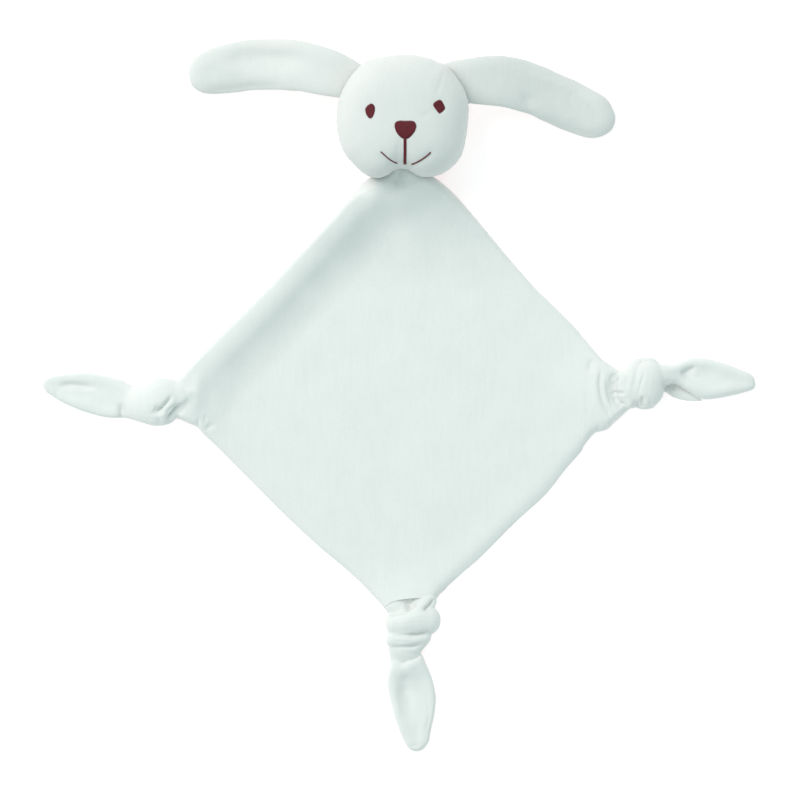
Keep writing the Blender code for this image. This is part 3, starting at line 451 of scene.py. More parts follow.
def group_velour():
    """Short pile: mottled tone, faint nap lines and a pile bump, from object coordinates."""
    tree = bpy.data.node_groups.new("Velour pile", "ShaderNodeTree")
    for way, names in (("INPUT", ("Colour", "Mottle", "Nap")), ("OUTPUT", ("Colour", "Height", "Roughness"))):
        for name in names:
            kind = "NodeSocketColor" if name == "Colour" else "NodeSocketFloat"
            tree.interface.new_socket(name, in_out=way, socket_type=kind)
    nodes = tree.nodes
    source = nodes.new("NodeGroupInput")
    result = nodes.new("NodeGroupOutput")
    where = nodes.new("ShaderNodeTexCoord")

    def grain(scale, stretch, detail):
        mapping = set_inputs(nodes.new("ShaderNodeMapping"), Scale=stretch)
        made = set_inputs(nodes.new("ShaderNodeTexNoise"), Scale=scale, Detail=detail, Roughness=0.6)
        wire(tree, (where.outputs["Object"], mapping.inputs["Vector"]),
             (mapping.outputs["Vector"], made.inputs["Vector"]))
        return made.outputs["Fac"]

    def reckon(operation, a, b):
        made = nodes.new("ShaderNodeMath")
        made.operation = operation
        for slot, value in zip(made.inputs, (a, b)):
            if isinstance(value, (int, float)):
                slot.default_value = value
            else:
                wire(tree, (value, slot))
        return made.outputs["Value"]

    def add(a, b):
        return reckon("ADD", a, b)

    def times(a, b):
        return reckon("MULTIPLY", a, b)

    def swing(noisy, strength, weight):
        return times(times(reckon("SUBTRACT", noisy, 0.5), strength), weight)

    pile = grain(2600, (1, 1, 1), 3)
    tuft = grain(700, (1, 1, 1), 2)
    nap = grain(420, (1, 0.12, 0.6), 3)
    streak = grain(1500, (1, 0.06, 0.5), 2)
    cloud = grain(60, (1, 1, 1), 4)
    tone = swing(cloud, source.outputs["Mottle"], 0.14)
    lines = swing(nap, source.outputs["Nap"], 0.10)
    fine = swing(streak, source.outputs["Nap"], 0.11)
    speck = swing(pile, 1, 0.16)
    tint = nodes.new("ShaderNodeMix")
    tint.data_type = "RGBA"
    tint.blend_type = "MULTIPLY"
    set_inputs(tint, Factor=1.0)
    wire(tree, (source.outputs["Colour"], tint.inputs["A"]),
         (add(1.0, add(add(tone, fine), add(lines, speck))), tint.inputs["B"]),
         (tint.outputs["Result"], result.inputs["Colour"]),
         (add(times(pile, 0.55), add(times(tuft, 0.6), times(nap, 0.35))), result.inputs["Height"]),
         (add(0.86, times(pile, 0.14)), result.inputs["Roughness"]))
    return tree


def velour(name, colour, mottle):
    """A velour cloth with its own tone."""
    made, tree, shader = new_finish(name, 0.15)
    set_inputs(shader, Sheen_Weight=0.12, Sheen_Roughness=0.5)
    pile = tree.nodes.new("ShaderNodeGroup")
    pile.node_tree = bpy.data.node_groups.get("Velour pile") or group_velour()
    set_inputs(pile, Colour=(*colour, 1), Mottle=mottle, Nap=NAP)
    bumps = set_inputs(tree.nodes.new("ShaderNodeBump"), Strength=0.35, Distance=size("pile"))
    wire(tree, (pile.outputs["Colour"], shader.inputs["Base Color"]),
         (pile.outputs["Roughness"], shader.inputs["Roughness"]),
         (pile.outputs["Height"], bumps.inputs["Height"]),
         (bumps.outputs["Normal"], shader.inputs["Normal"]))
    return made


def thread(name, colour):
    """Embroidery thread: a fine grain, light and dark, and a soft shine."""
    made, tree, shader = new_finish(name, 0.3)
    where = tree.nodes.new("ShaderNodeTexCoord")
    grain = set_inputs(tree.nodes.new("ShaderNodeTexNoise"), Scale=2400, Detail=2)
    ramp = tree.nodes.new("ShaderNodeValToRGB")
    for stop, shade, position in zip(ramp.color_ramp.elements, (0.55, 1.6), (0.3, 0.75)):
        stop.color = (*[min(1, c * shade) for c in colour], 1)
        stop.position = position
    rough = set_inputs(tree.nodes.new("ShaderNodeMapRange"), To_Min=0.5, To_Max=0.75)
    bumps = set_inputs(tree.nodes.new("ShaderNodeBump"), Strength=0.4, Distance=0.0001)
    wire(tree, (where.outputs["Object"], grain.inputs["Vector"]),
         (grain.outputs["Fac"], ramp.inputs["Fac"]),
         (grain.outputs["Fac"], rough.inputs["Value"]),
         (grain.outputs["Fac"], bumps.inputs["Height"]),
         (ramp.outputs["Color"], shader.inputs["Base Color"]),
         (rough.outputs["Result"], shader.inputs["Roughness"]),
         (bumps.outputs["Normal"], shader.inputs["Normal"]))
    return made


# Blanket cloth

# The doubled cloth where it lies flat, and the least top near its rim
CLOTH_TOP = 0.0036
CLOTH_MIDDLE = 0.0021
CLOTH_UNDER = 0.0004
CLOTH_LEAST_TOP = 0.0022
CLOTH_SPACING = 0.00085
CLOTH_RIM = 0.0034
CLOTH_RUMPLES = ((0.00030, 0.030, 3.0), (0.00012, 0.011, 9.0))
DOUBLED = 0.0002

# The cloth's climb to the chin, and the plug of gathered cloth in the neck opening
NECK_RISE_Y = 0.0500
NECK_SOFT = 0.036
NECK_SLOPE = 0.42
CHIN_TOP = 0.0218
CHIN_SOFT = 0.0018
FOLDS_FADE = 0.005
NECK_ROUND_Y = 0.0800
NECK_MIDDLE_Y = 0.086
NECK_UNDER_Y = 0.0985
PLUG_START_Y = 0.1095
PLUG_RUN = 0.0045
PLUG_Y = 0.1150
PLUG_HALF = 0.0066

ROLL_STEPS = 160
ROLL_MIX = 0.0015
ROLL_VARIES = 0.16
ROLL_WAVES = 3.1
ROLL_WAVE_REACH = 0.23
EDGE_ROLLS = (
    # rim radius mm, then the cloth's slope towards the inside at depths in mm
    (2.6, ((0, 0.18), (3, 0.12), (5.2, 0), (13, -0.67), (31, 0))),
    (2.0, ((0, 0.04), (4, -0.05), (12, 0))),
    (3.8, ((0, 0.27), (3.0, 0.25), (5.2, 0.03), (7.5, -0.06), (14, -0.05), (20, 0))),
    (2.0, ((0, 0.06), (4, -0.05), (12, 0))),
)


def roll_height(depth, slopes):
    """Height of a rolled edge over the flat cloth inside it."""
    steps = np.linspace(0, slopes[-1][0], ROLL_STEPS)
    slope = np.interp(steps, *zip(*slopes))
    height = np.cumsum(slope[::-1])[::-1] * (steps[1] - steps[0]) * -MM
    return np.interp(depth, steps * MM, height)


def edges():
    """The four long edges as even curves."""
    edges_px = (EDGE_TOP_LEFT, EDGE_BOTTOM_LEFT, EDGE_BOTTOM_RIGHT, EDGE_TOP_RIGHT)
    return [flow(px(points), MM) for points in edges_px]


CORNER_SWELLS = (
    # middle of the swell in pixels, its reach, its top
    ((176, 400), 0.0210, 0.0098),
    ((622, 394), 0.0260, 0.0098),
    ((410, 620), 0.0190, 0.0098),
)

CLOTH_FOLDS = (
    # line in pixels, half width mm, rise mm, fade share, power
    (((404, 164), (402, 176), (396, 190), (384, 206)), 4.2, -1.0, 0.45, 2.0),
    (((392, 168), (386, 178), (376, 191), (362, 206)), 4.4, 1.5, 0.45, 2.0),
    (((402, 166), (399, 173), (396, 180), (392, 187)), 1.8, -1.1, 0.35, 1.7),
    (((406, 163), (408, 171), (414, 181)), 3.6, 1.4, 0.40, 2.0),
    (((416, 168), (425, 182), (440, 200), (462, 226), (500, 268)), 4.5, -1.0, 0.35, 2.0),
    (((404, 172), (410, 200), (415, 240), (418, 290)), 8.0, 0.9, 0.40, 2.0),
    (((411, 592), (398, 574), (385, 556)), 3.5, -0.5, 0.5, 2.0),
    (((201, 368), (197, 388), (195, 405), (191, 420)), 3.0, 0.9, 0.35, 2.0),
    (((214, 380), (210, 400), (209, 418)), 3.5, -0.5, 0.40, 2.0),
    (((198, 416), (199, 430)), 0.9, -0.8, 0.45, 1.5),
    (((205, 413), (206, 423)), 0.7, -0.5, 0.45, 1.5),
    (((204, 431), (209, 427), (216, 423)), 1.2, -0.8, 0.45, 1.5),
    (((593, 357), (590, 366), (590, 375)), 1.6, -0.8, 0.40, 1.6),
    (((597, 362), (595, 380), (596, 400), (601, 418)), 2.2, 0.4, 0.35, 2.0),
    (((588, 448), (590, 438), (593, 430)), 1.2, -0.7, 0.40, 1.6),
    (((590, 425), (604, 424), (612, 421)), 1.2, -0.4, 0.40, 1.6),
)


def cloth_heights(places):
    """Top, rim and underside of the blanket's cloth."""
    found = [to_line(places, line) for line in edges()]
    depth = np.min([each[0] for each in found], axis=0)
    crest, radius, weights = np.zeros((3, len(places)))
    for k, (rim, slopes) in enumerate(EDGE_ROLLS):
        away, share, _ = found[k]
        weight = 1 / (away + ROLL_MIX) ** 3
        weights += weight
        radius += weight * rim * MM
        along = np.column_stack([share * ROLL_WAVES, np.full(len(share), k * 7.0)])
        crest += roll_height(away, slopes) * (1 + ROLL_VARIES * rumple(along, ROLL_WAVE_REACH, 1.5))
    radius /= weights
    level = CLOTH_TOP + crest
    level += uneven(places, *CLOTH_RUMPLES)
    for place, reach, top in CORNER_SWELLS:
        level = lerp(level, top, spot(places, place, reach))
    y = places[:, 1]

    def towards_plug(start):
        return smoothstep((y - start) / (PLUG_Y - start))

    run = y - NECK_RISE_Y
    bend = np.maximum(run, 0) ** 2 / (2 * NECK_SOFT)
    climb = NECK_SLOPE * np.where(run < NECK_SOFT, bend, run - NECK_SOFT / 2)
    high = CHIN_TOP - CHIN_SOFT * np.logaddexp(0, (CHIN_TOP - level - climb) / CHIN_SOFT)
    pressed = add_folds(np.zeros(len(places)), places, CLOTH_FOLDS)
    high += pressed * (1 - smoothstep((y - NECK_END_Y) / FOLDS_FADE))
    high = lerp(high, NECK_Z + PLUG_HALF, smoothstep((y - PLUG_START_Y) / PLUG_RUN))
    low = lerp(CLOTH_UNDER, NECK_Z - PLUG_HALF, towards_plug(NECK_UNDER_Y))
    middle = lerp(CLOTH_MIDDLE, NECK_Z, towards_plug(NECK_MIDDLE_Y))
    rounding = rounded(depth, lerp(radius, PLUG_HALF, towards_plug(NECK_ROUND_Y)))
    top = middle + (np.maximum(high, CLOTH_LEAST_TOP) - middle) * rounding
    under = middle - (middle - low) * np.sqrt(rounding)
    return top, middle, under


def chain(*lines):
    """One closed outline from lines that follow each other, without doubled places."""
    path = np.vstack(lines)
    return path[np.linalg.norm(path - np.roll(path, 1, 0), axis=1) > DOUBLED]


def between(line, start, end):
    """The stretch of a curve between the places nearest to two given in pixels."""
    a, b = (int(np.linalg.norm(line - px([p])[0], axis=1).argmin()) for p in (start, end))
    return line[a:b + 1]


def build_blanket(finish):
    """The middle cloth, from the neck under the chin to the three corners."""
    top_left, bottom_left, bottom_right, top_right = edges()
    outline = chain(
        between(top_left, EDGE_TOP_LEFT[0], SPLIT_LEFT[0]),
        flow(px(SPLIT_LEFT), MM),
        between(bottom_left, SPLIT_LEFT[-1], SPLIT_BOTTOM[0]),
        flow(px(SPLIT_BOTTOM), MM),
        between(bottom_right, SPLIT_BOTTOM[-1], SPLIT_RIGHT[0]),
        flow(px(SPLIT_RIGHT), MM),
        between(top_right, SPLIT_RIGHT[-1], EDGE_TOP_RIGHT[-1]),
        flow(px([EDGE_TOP_RIGHT[-1], EDGE_TOP_LEFT[0]]), MM)[1:-1],
    )
    cloth = pillow("blanket_cloth", outline, CLOTH_SPACING, CLOTH_RIM, cloth_heights, finish)
    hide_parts("blanket_front_panel", "blanket_back_panel", "neck_gather")
    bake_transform(cloth)


# Corners and tails

CORNERS = {
    # Lobes run through (x px, y px, z mm, half width mm, half height mm).
    # Creases and folds hold a line in pixels, half width mm, rise mm, fade share, power.
    # A leaf holds its outline in pixels, its top and rim mm, a root swell (place px, reach mm, rise mm) and
    # folds, and one leaf has another middle in mm, where its layers meet.
    # Calm spots hold a place in pixels, a reach mm and rounds; sunk is a place in pixels, reach and depth mm.
    # A corner is parted from its tail at the cut, and way points to the tail.
    # Start, end and tip are places along that way.
    "left": dict(
        edge=((203, 349), *EDGE_TOP_LEFT[11:], *EDGE_BOTTOM_LEFT[:7], (210, 440.5)),
        inner=((210, 440.5), (213, 420), (213, 400), (212, 380), (203, 349)),
        lobes=(
            ((122, 404.5, 3.2, 5.4, 2.8), (129, 404.8, 4.2, 6.8, 4.0), (136, 404.3, 5.6, 8.3, 5.4),
             (145, 403.6, 6.6, 10.1, 6.5), (155, 402.7, 7.2, 11.6, 7.1), (164, 400.6, 7.2, 11.8, 7.1),
             (172, 398.8, 6.8, 10.3, 6.5), (180, 398, 6.0, 8.6, 5.2)),
            ((191, 382, 3.8, 3.4, 3.2), (186, 388, 6.0, 4.6, 4.2), (178, 393, 8.2, 5.2, 4.4)),
            ((184, 393, 7.4, 3.2, 3.0), (179, 400, 9.2, 3.0, 3.1), (173, 408, 8.6, 2.6, 3.0),
             (167, 416, 6.4, 2.4, 2.8), (163, 421.5, 3.6, 1.9, 2.2)),
        ),
        leaves=(
            dict(outline=((152, 391), (142, 389), (135, 387.5), (128, 383), (120, 379), (106, 375.6),
                          (94, 373.3), (84, 372.3), (72, 372.8), (60, 374.2), (50, 376.3), (44.5, 379),
                          (42.3, 384), (45, 390.5), (52, 396), (60, 401), (70, 406), (80, 410.2),
                          (90, 413.4), (100, 416.2), (110, 417.8), (122, 418), (130, 418), (140, 417),
                          (152, 415)),
                 top=5.7, rim=1.2, root=((130, 398), 7.5, 1.6),
                 folds=(
                     (((58, 385.4), (70, 385), (82, 386), (96, 388.6)), 1.5, -1.05, 0.30, 2.0),
                     (((57, 387.5), (70, 387.4), (84, 388.8), (98, 391)), 2.6, -0.35, 0.25, 0.0),
                     (((59, 386), (57.5, 393), (60, 400)), 1.6, -0.35, 0.40, 2.0),
                     (((64, 396), (85, 402), (106, 405)), 3.5, 0.3, 0.40, 2.0),
                 )),
        ),
        creases=(
            (((173, 394), (169, 401), (162, 409), (154, 416)), 1.1, -2.2, 0.30, 1.4),
            (((166, 406), (160, 411), (153, 415)), 1.9, -0.9, 0.45, 1.8),
            (((183, 403), (178.5, 409), (173.5, 415.5), (166, 424)), 1.7, -3.4, 0.30, 1.5),
            (((182, 403), (187, 397), (190, 392), (192, 386)), 2.6, 1.3, 0.35, 2.0),
            (((159, 404), (155, 411), (153, 417)), 0.9, -0.8, 0.40, 1.5),
            (((176, 403), (170, 410), (164, 417)), 0.8, -0.7, 0.40, 1.5),
            (((178, 400), (172, 409), (165, 418)), 0.5, -0.35, 0.35, 1.5),
            (((175, 399), (169, 408), (162, 416)), 0.5, -0.30, 0.35, 1.5),
            (((150, 402), (152, 410), (151, 419)), 1.2, -0.25, 0.40, 1.8),
            (((158, 417), (161, 425)), 0.8, -0.45, 0.45, 1.5),
            (((121, 401), (120.6, 410), (121.5, 422)), 1.5, -1.2, 0.35, 1.6),
            (((121.5, 405), (121.2, 412), (122, 421)), 0.7, -0.9, 0.35, 1.5),
        ),
        calm=(((128, 396), 7.0, 60), ((190, 386), 5.0, 60), ((177, 390), 4.0, 30)),
        split=SPLIT_LEFT, way=(-1, 0, 0), start=(-0.0975, -0.002, 0.004), end=(-0.1185, -0.002, 0.005),
        cut=(-0.1350, -0.002, 0.005), tip=(-0.1448, -0.002, 0.005)),
    "right": dict(
        edge=((577, 457), (586, 443), *EDGE_BOTTOM_RIGHT[10:], *EDGE_TOP_RIGHT[:6], (588, 343), (576, 329)),
        inner=((576, 329), (579, 360), (580, 385), (581, 410), (580, 432), (577, 457)),
        lobes=(
            ((612, 391, 5.0, 8.6, 4.6), (622, 390, 6.0, 9.0, 5.4), (632, 387, 6.6, 9.4, 6.2),
             (640, 385, 7, 9, 6.4)),
            ((643.5, 401, 5.2, 6.8, 4.2), (644, 397, 6.6, 8.4, 6.0), (645, 390, 7.2, 9.3, 6.9),
             (646, 380, 7.2, 9.4, 7.1), (646, 372, 6.7, 8.8, 6.4), (645.5, 366, 5.4, 6.8, 4.6)),
            ((632, 402, 4.8, 3.0, 3.4), (630.5, 395, 8.0, 3.2, 3.6), (630.5, 384, 9.2, 3.6, 4.0),
             (634, 373, 8.6, 4.2, 4.0), (639, 366, 6.8, 4.4, 3.6)),
            ((652, 379, 6.6, 8.0, 6.0), (659, 376.5, 5.8, 6.4, 5.0), (666, 375, 5.0, 5.2, 4.0),
             (674, 374, 4.4, 4.4, 3.0)),
            ((630, 380, 9.2, 4.6, 3.2), (620, 382, 8.2, 4.5, 3.2), (612, 383, 6.2, 4.0, 3.0)),
            ((629, 401, 8.0, 3.6, 3.0), (620, 401, 7.4, 3.8, 3.0), (613, 400, 5.8, 3.4, 2.8)),
        ),
        leaves=(
            dict(outline=((655, 367), (662, 364.2), (668, 364.4), (672, 364.2), (678, 362.2), (685, 359.3),
                          (695, 357.6), (705, 358), (712, 359.5), (720, 361.8), (730, 365), (740, 369),
                          (747.5, 372), (752, 375), (754.3, 378.5), (755.3, 383), (755, 387), (752, 390),
                          (746, 392), (735, 395), (720, 398), (708, 399.5), (700, 398.6), (694, 395.6),
                          (687, 391), (680, 386.3), (674, 383.8), (668, 383.5), (662, 385), (655, 384)),
                 top=5.8, rim=2.3, root=((662, 374), 7.5, 4.0),
                 folds=(
                     (((678, 374), (684, 372.5), (690, 369.4), (698, 366)), 1.1, -1.3, 0.35, 1.5),
                     (((678, 374), (688, 376), (703, 380)), 1.3, -0.7, 0.40, 1.7),
                     (((680, 373), (688, 372.5), (697, 372)), 2.6, -1.0, 0.45, 2.0),
                     (((690, 373), (705, 373), (722, 374)), 3.6, -0.5, 0.45, 2.0),
                     (((680, 381), (692, 386), (712, 389.5), (730, 387.5), (746, 382)), 3.0, 0.8, 0.30, 2.0),
                     (((747, 372), (751, 381), (748, 391)), 1.1, -0.3, 0.40, 1.6),
                 )),
            dict(outline=((654, 384), (664, 381), (674, 383), (684, 389), (694, 395), (703, 400.2),
                          (698, 401.6), (690, 401.4), (680, 400), (672, 397), (665, 392.5), (655, 391)),
                 top=1.5, rim=5.0, middle=0.6, root=((660, 386), 4.0, 0.3), folds=()),
        ),
        creases=(
            (((618, 371), (612.8, 382), (612, 392), (616.5, 402), (628, 410)), 2.1, -3.1, 0.20, 1.7),
            (((609, 392), (617, 393.5), (626, 393.5)), 1.1, -1.1, 0.30, 1.6),
            (((601, 366), (599.5, 385), (602.5, 402), (607.5, 412), (613, 423)), 0.9, -1.2, 0.25, 1.4),
            (((606, 374), (607, 390), (610, 402), (616, 414)), 0.8, -0.6, 0.35, 1.5),
            (((643, 395), (641.5, 401), (643, 409)), 1.3, -1.9, 0.40, 1.5),
            (((637, 399), (636.5, 405), (638.5, 411)), 1.0, -1.3, 0.40, 1.5),
            (((646, 370), (641, 382), (638, 394), (636, 406)), 0.8, -0.55, 0.35, 1.5),
            (((650, 398), (650.5, 404), (649, 410)), 0.7, -0.4, 0.40, 1.5),
            (((626, 374), (627, 384), (627.5, 392)), 0.9, -0.6, 0.40, 1.5),
            (((660, 387), (666, 385.5), (672, 387), (679, 391)), 1.4, -1.0, 0.30, 1.6),
            (((597, 424), (599, 429), (598, 433)), 0.7, -0.5, 0.40, 1.5),
            (((603, 422), (606, 427), (606, 431)), 0.7, -0.4, 0.40, 1.5),
        ),
        calm=(((663, 369), 6.0, 25), ((626, 399), 2.5, 10)),
        split=SPLIT_RIGHT, way=(1, 0, 0), start=(0.0925, 0, 0.004), end=(0.1115, 0, 0.005),
        cut=(0.1335, 0.0045, 0.005), tip=(0.1433, 0.0045, 0.005)),
    "bottom": dict(
        edge=((375, 597.5), *EDGE_BOTTOM_LEFT[13:], (421, 646), (428, 632), *EDGE_BOTTOM_RIGHT[2:4],
              (447, 588)),
        inner=((447, 588), (430, 590), (412, 592), (392, 594), (375, 597.5)),
        lobes=(
            ((409, 603, 4.4, 8.8, 3.6), (411, 612, 5.6, 10.2, 5.0), (411, 622, 6.4, 11.0, 6.0),
             (409, 634, 6.4, 10.8, 6.0), (406, 644, 5.6, 8.8, 5.0)),
            ((397.5, 623, 6.5, 6.4, 6.3), (405, 621.8, 7.1, 7.0, 6.9), (413, 620.6, 7.3, 7.3, 7.0),
             (421, 620, 7.2, 7.4, 6.8), (428, 620.5, 6.7, 7.0, 6.4)),
            ((419, 613, 7.6, 5.6, 5.4), (425, 606, 6.6, 4.6, 4.2), (430, 600, 5.0, 3.6, 3.0)),
            ((395, 639, 5.6, 4.8, 5.3), (406, 639.8, 6.1, 4.2, 5.9), (416, 639, 6.0, 4.2, 5.7),
             (422, 636.5, 5.6, 4.6, 5.2)),
            ((405, 644, 5.2, 8.3, 5.0), (405, 653, 4.6, 8.0, 4.2), (404.5, 661, 3.6, 7.2, 3.2)),
        ),
        leaves=(
            dict(outline=((421.5, 654.5), (424.5, 660), (428, 668), (432, 678), (435, 690), (436, 700),
                          (434.3, 715), (431, 730), (429, 741), (424, 748.5), (418, 751.3), (411, 750),
                          (406, 745), (402, 737), (398, 727), (394, 715), (391, 703), (388, 690),
                          (387, 682), (388, 672), (390.5, 664), (393, 655), (397, 652), (400.5, 657),
                          (403, 662.3), (409, 660), (416, 657.5)),
                 top=5.6, rim=1.5, root=((411, 664), 7.0, 2.6),
                 folds=(
                     (((405, 667), (407, 686), (413, 726)), 4.4, -2.2, 0.60, 2.0),
                     (((404, 672), (405, 684), (407, 698)), 2.8, -1.0, 0.35, 2.0),
                     (((393, 675), (396, 700), (401, 725)), 1.4, 0.35, 0.35, 2.0),
                     (((424, 684), (428, 705), (428, 722), (422, 740)), 0.8, -0.4, 0.35, 1.5),
                     (((407, 745), (414, 746), (421, 742)), 0.9, -0.4, 0.40, 1.6),
                 )),
        ),
        creases=(
            (((386, 616.5), (394, 613), (402, 610.8), (409, 607.5), (416, 602.5)), 1.5, -1.5, 0.30, 1.6),
            (((385, 606), (392, 604), (399, 602.5)), 0.8, -0.35, 0.40, 1.5),
            (((387, 609.5), (394, 607.5), (400, 606.5)), 0.7, -0.25, 0.40, 1.5),
            (((436, 597), (431, 604), (423, 611.5)), 1.1, -2.2, 0.30, 1.4),
            (((392, 634), (406, 634.8), (420, 634.3), (434, 631)), 0.9, -0.9, 0.40, 1.4),
            (((404, 635.2), (418, 634.8), (433, 631.5)), 1.0, -1.7, 0.35, 1.6),
            (((390, 646.8), (402, 647.4), (413, 646.8), (425, 643.5)), 0.9, -1.0, 0.40, 1.4),
            (((403, 646.8), (414, 646.4), (425, 643)), 0.9, -0.8, 0.35, 1.4),
            (((407, 596), (409.5, 602), (411, 609)), 2.7, -3.0, 0.35, 2.0),
            (((392, 641), (404, 641.8), (414, 641)), 0.7, -0.3, 0.40, 1.5),
            (((401, 618), (412, 617), (424, 614)), 2.0, 0.35, 0.40, 2.0),
        ),
        calm=(((390, 632), 4.0, 25), ((391, 646), 3.0, 15), ((394, 657), 4.0, 25)),
        sunk=((408, 600), 5.0, 1.6),
        way=(0, -1, 0), start=(0.003, -0.0990, 0.004), end=(0.003, -0.1150, 0.005),
        cut=(0.0050, -0.1318, 0.005), tip=(0.0050, -0.1416, 0.005)),
}

GATHER_SPACING = 0.0009
GATHER_RIM = 0.0030
UNDERLAY = 0.04
LEAF_SPACING = 0.0006
LEAF_MIDDLE = 2.6
LEAF_ROLL = 0.0005
LEAF_ROLL_DEPTH = 0.0030
LEAF_ROLL_WIDTH = 0.0025
LEAF_RUMPLE = (0.00015, 0.007, 4.0)
FIT_START = 0.0035
FIT_RUN = 0.0040
TUCK = 0.00016
TUCK_START = 0.0002
TUCK_RUN = 0.0008
CALMING = 0.6
KNOT_VOXEL = 0.00036


def gather_heights(sunk):
    """The gathered cloth of a corner, a hair under the middle cloth, and deeper round a sunk place."""
    place, reach, depth = sunk or ((0, 0), 1, 0)

    def heights(places):
        top, middle, under = cloth_heights(places)
        pocket = depth * spot(places, place, reach * MM)
        return np.maximum(top - (UNDERLAY + pocket) * MM, middle), middle, under + UNDERLAY * MM

    return heights


def leaf_heights(outline, spec):
    """Heights of a leaf of doubled cloth with a rolled rim and hollows."""
    line = np.vstack([outline, outline[:1]])
    place, reach, rise = spec["root"]
    middle = spec.get("middle", LEAF_MIDDLE) * MM

    def heights(places):
        depth = to_line(places, line)[0]
        rounding = rounded(depth, spec["rim"] * MM)
        high = spec["top"] * MM + LEAF_ROLL * np.exp(-((depth - LEAF_ROLL_DEPTH) / LEAF_ROLL_WIDTH) ** 2)
        high = add_folds(high + uneven(places, LEAF_RUMPLE), places, spec["folds"])
        high += rise * MM * spot(places, place, reach * MM)
        under = lerp(middle, TABLE_GAP, rounding)
        return middle + (high - middle) * rounding, np.full(len(places), middle), under

    return heights


def fit_to_cloth(obj, split, heights):
    """Lay the inner end of a kneaded corner on the run of the cloth, and what passes the split inside it."""
    co = read_vertices(obj)
    normals = read_normals(obj)
    distance, _, side = to_line(co[:, :2], split)
    near = 1 - smoothstep((distance - FIT_START) / FIT_RUN)
    chosen = near > 0
    top, _, under = heights(co[chosen, :2])
    target = np.where(normals[chosen, 2] > 0, top, under)
    flat = near[chosen] * smoothstep(np.abs(normals[chosen, 2]) / FACING_RUN)
    co[chosen, 2] = lerp(co[chosen, 2], target, flat)
    co -= normals * (TUCK * smoothstep((distance * side - TUCK_START) / TUCK_RUN))[:, None]
    write_vertices(obj, co)


def calm(obj, spots):
    """Ease the joint between two lobes into one run of cloth, round each (place px, reach mm, rounds)."""
    co = read_vertices(obj)
    pairs = np.zeros(len(obj.data.edges) * 2, int)
    obj.data.edges.foreach_get("vertices", pairs)
    a, b = pairs.reshape(-1, 2).T
    count = np.bincount(pairs, minlength=len(co))[:, None]
    for place, reach, rounds in spots:
        weight = spot(co[:, :2], place, reach * MM)[:, None] * CALMING
        for _ in range(rounds):
            total = np.zeros_like(co)
            np.add.at(total, a, co[b])
            np.add.at(total, b, co[a])
            co = lerp(co, total / count, weight)
    write_vertices(obj, co)


def part_at(obj, name, place, way):
    """Part a closed form at a plane: the side that way points to becomes a new object, both ends closed."""
    beyond = copy_of(obj)
    beyond.name = name
    beyond.data.name = name
    for made, sign in ((obj, 1), (beyond, -1)):
        bm = bmesh.new()
        bm.from_mesh(made.data)
        cut = bmesh.ops.bisect_plane(bm, geom=bm.verts[:] + bm.edges[:] + bm.faces[:], plane_co=place,
                                     plane_no=tuple(sign * c for c in way), clear_outer=True)
        rim = [e for e in cut["geom_cut"] if isinstance(e, bmesh.types.BMEdge) and e.is_valid]
        closed = bmesh.ops.edgeloop_fill(bm, edges=rim)["faces"]
        bmesh.ops.triangulate(bm, faces=closed)
        for edge in rim:
            edge.smooth = False
        bmesh.ops.recalc_face_normals(bm, faces=bm.faces[:])
        bm.to_mesh(made.data)
        bm.free()
    return beyond


def build_corners(finish):
    """Each corner and its tail: gathered cloth, the knot's wraps and a leaf, melted together and creased."""
    for side, spec in CORNERS.items():
        outline = chain(flow(px(spec["edge"]), MM), flow(px(spec["inner"]), MM))
        heights = gather_heights(spec.get("sunk"))
        parts = [pillow(f"gather_{side}", outline, GATHER_SPACING, GATHER_RIM, heights)]
        parts += [tube_lobe(points) for points in spec["lobes"]]
        for leaf in spec["leaves"]:
            outline = flow(px(leaf["outline"]), LEAF_SPACING, closed=True)
            parts.append(pillow("leaf", outline, LEAF_SPACING, leaf["rim"] * MM, leaf_heights(outline, leaf)))
        knot = join(f"corner_{side}_knot", parts)
        knead(knot, KNOT_VOXEL, 4)
        calm(knot, spec["calm"])
        if "split" in spec:
            fit_to_cloth(knot, flow(px(spec["split"]), MM), heights)
        press(knot, spec["creases"])
        soften(knot, 2)
        paint(knot, finish)
        leaf = part_at(knot, f"tail_{side}_leaf", spec["cut"], spec["way"])
        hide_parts(f"knot_{side}")
        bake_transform(knot)
        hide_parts(f"tail_{side}")
        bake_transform(leaf)


# Head

HEAD_MIDDLE = px([(402.5, 116.5)])[0]
HEAD_STEP = 0.0006
HEAD_COLUMNS = 330
HEAD_ROWS = 64
HEAD_POWER = 3.2
RELIEF_FADE = 0.25
RELIEF_START = 0.008
SEAM_GAP = 0.00008
SEAM_GROOVE = 0.0005
SEAM_GROOVE_WIDTH = 0.0011
SEAM_PULL = 0.00016
SEAM_PULL_WIDTH = 0.003
SEAM_STITCHES = 46
BACK_RIDGE = 0.0005
BACK_RIDGE_WIDTH = 0.0012
BACK_RIDGE_START = 0.004
HEAD_LOWEST = 0.0003
POLE_RISE = 0.0003
HEAD_WALL = 0.0011
HEAD_OUTLINE = (
    (362, 65), (370, 60.5), (380, 58), (392, 56), (400, 55), (410, 55), (420, 56.5), (430, 59),
    (438, 62.5), (446, 66.5), (453, 73.5), (459, 81.5), (464, 90), (467.5, 100), (468.5, 110), (468, 120),
    (467, 130), (465, 143), (461.5, 155), (456, 163.5), (448, 170.5), (440, 175), (431, 177.3),
    (423, 177.4), (417, 175.8), (412, 172.8), (408, 170.4), (404, 169.4), (399, 169.6), (394.5, 171),
    (389.5, 174.4), (384, 177.3), (378, 178.6), (369, 176.8), (360, 171), (352, 163), (345, 154.5),
    (340, 143), (337, 130), (336.5, 118), (338, 106), (340.5, 96.5), (345, 86), (351.5, 76))

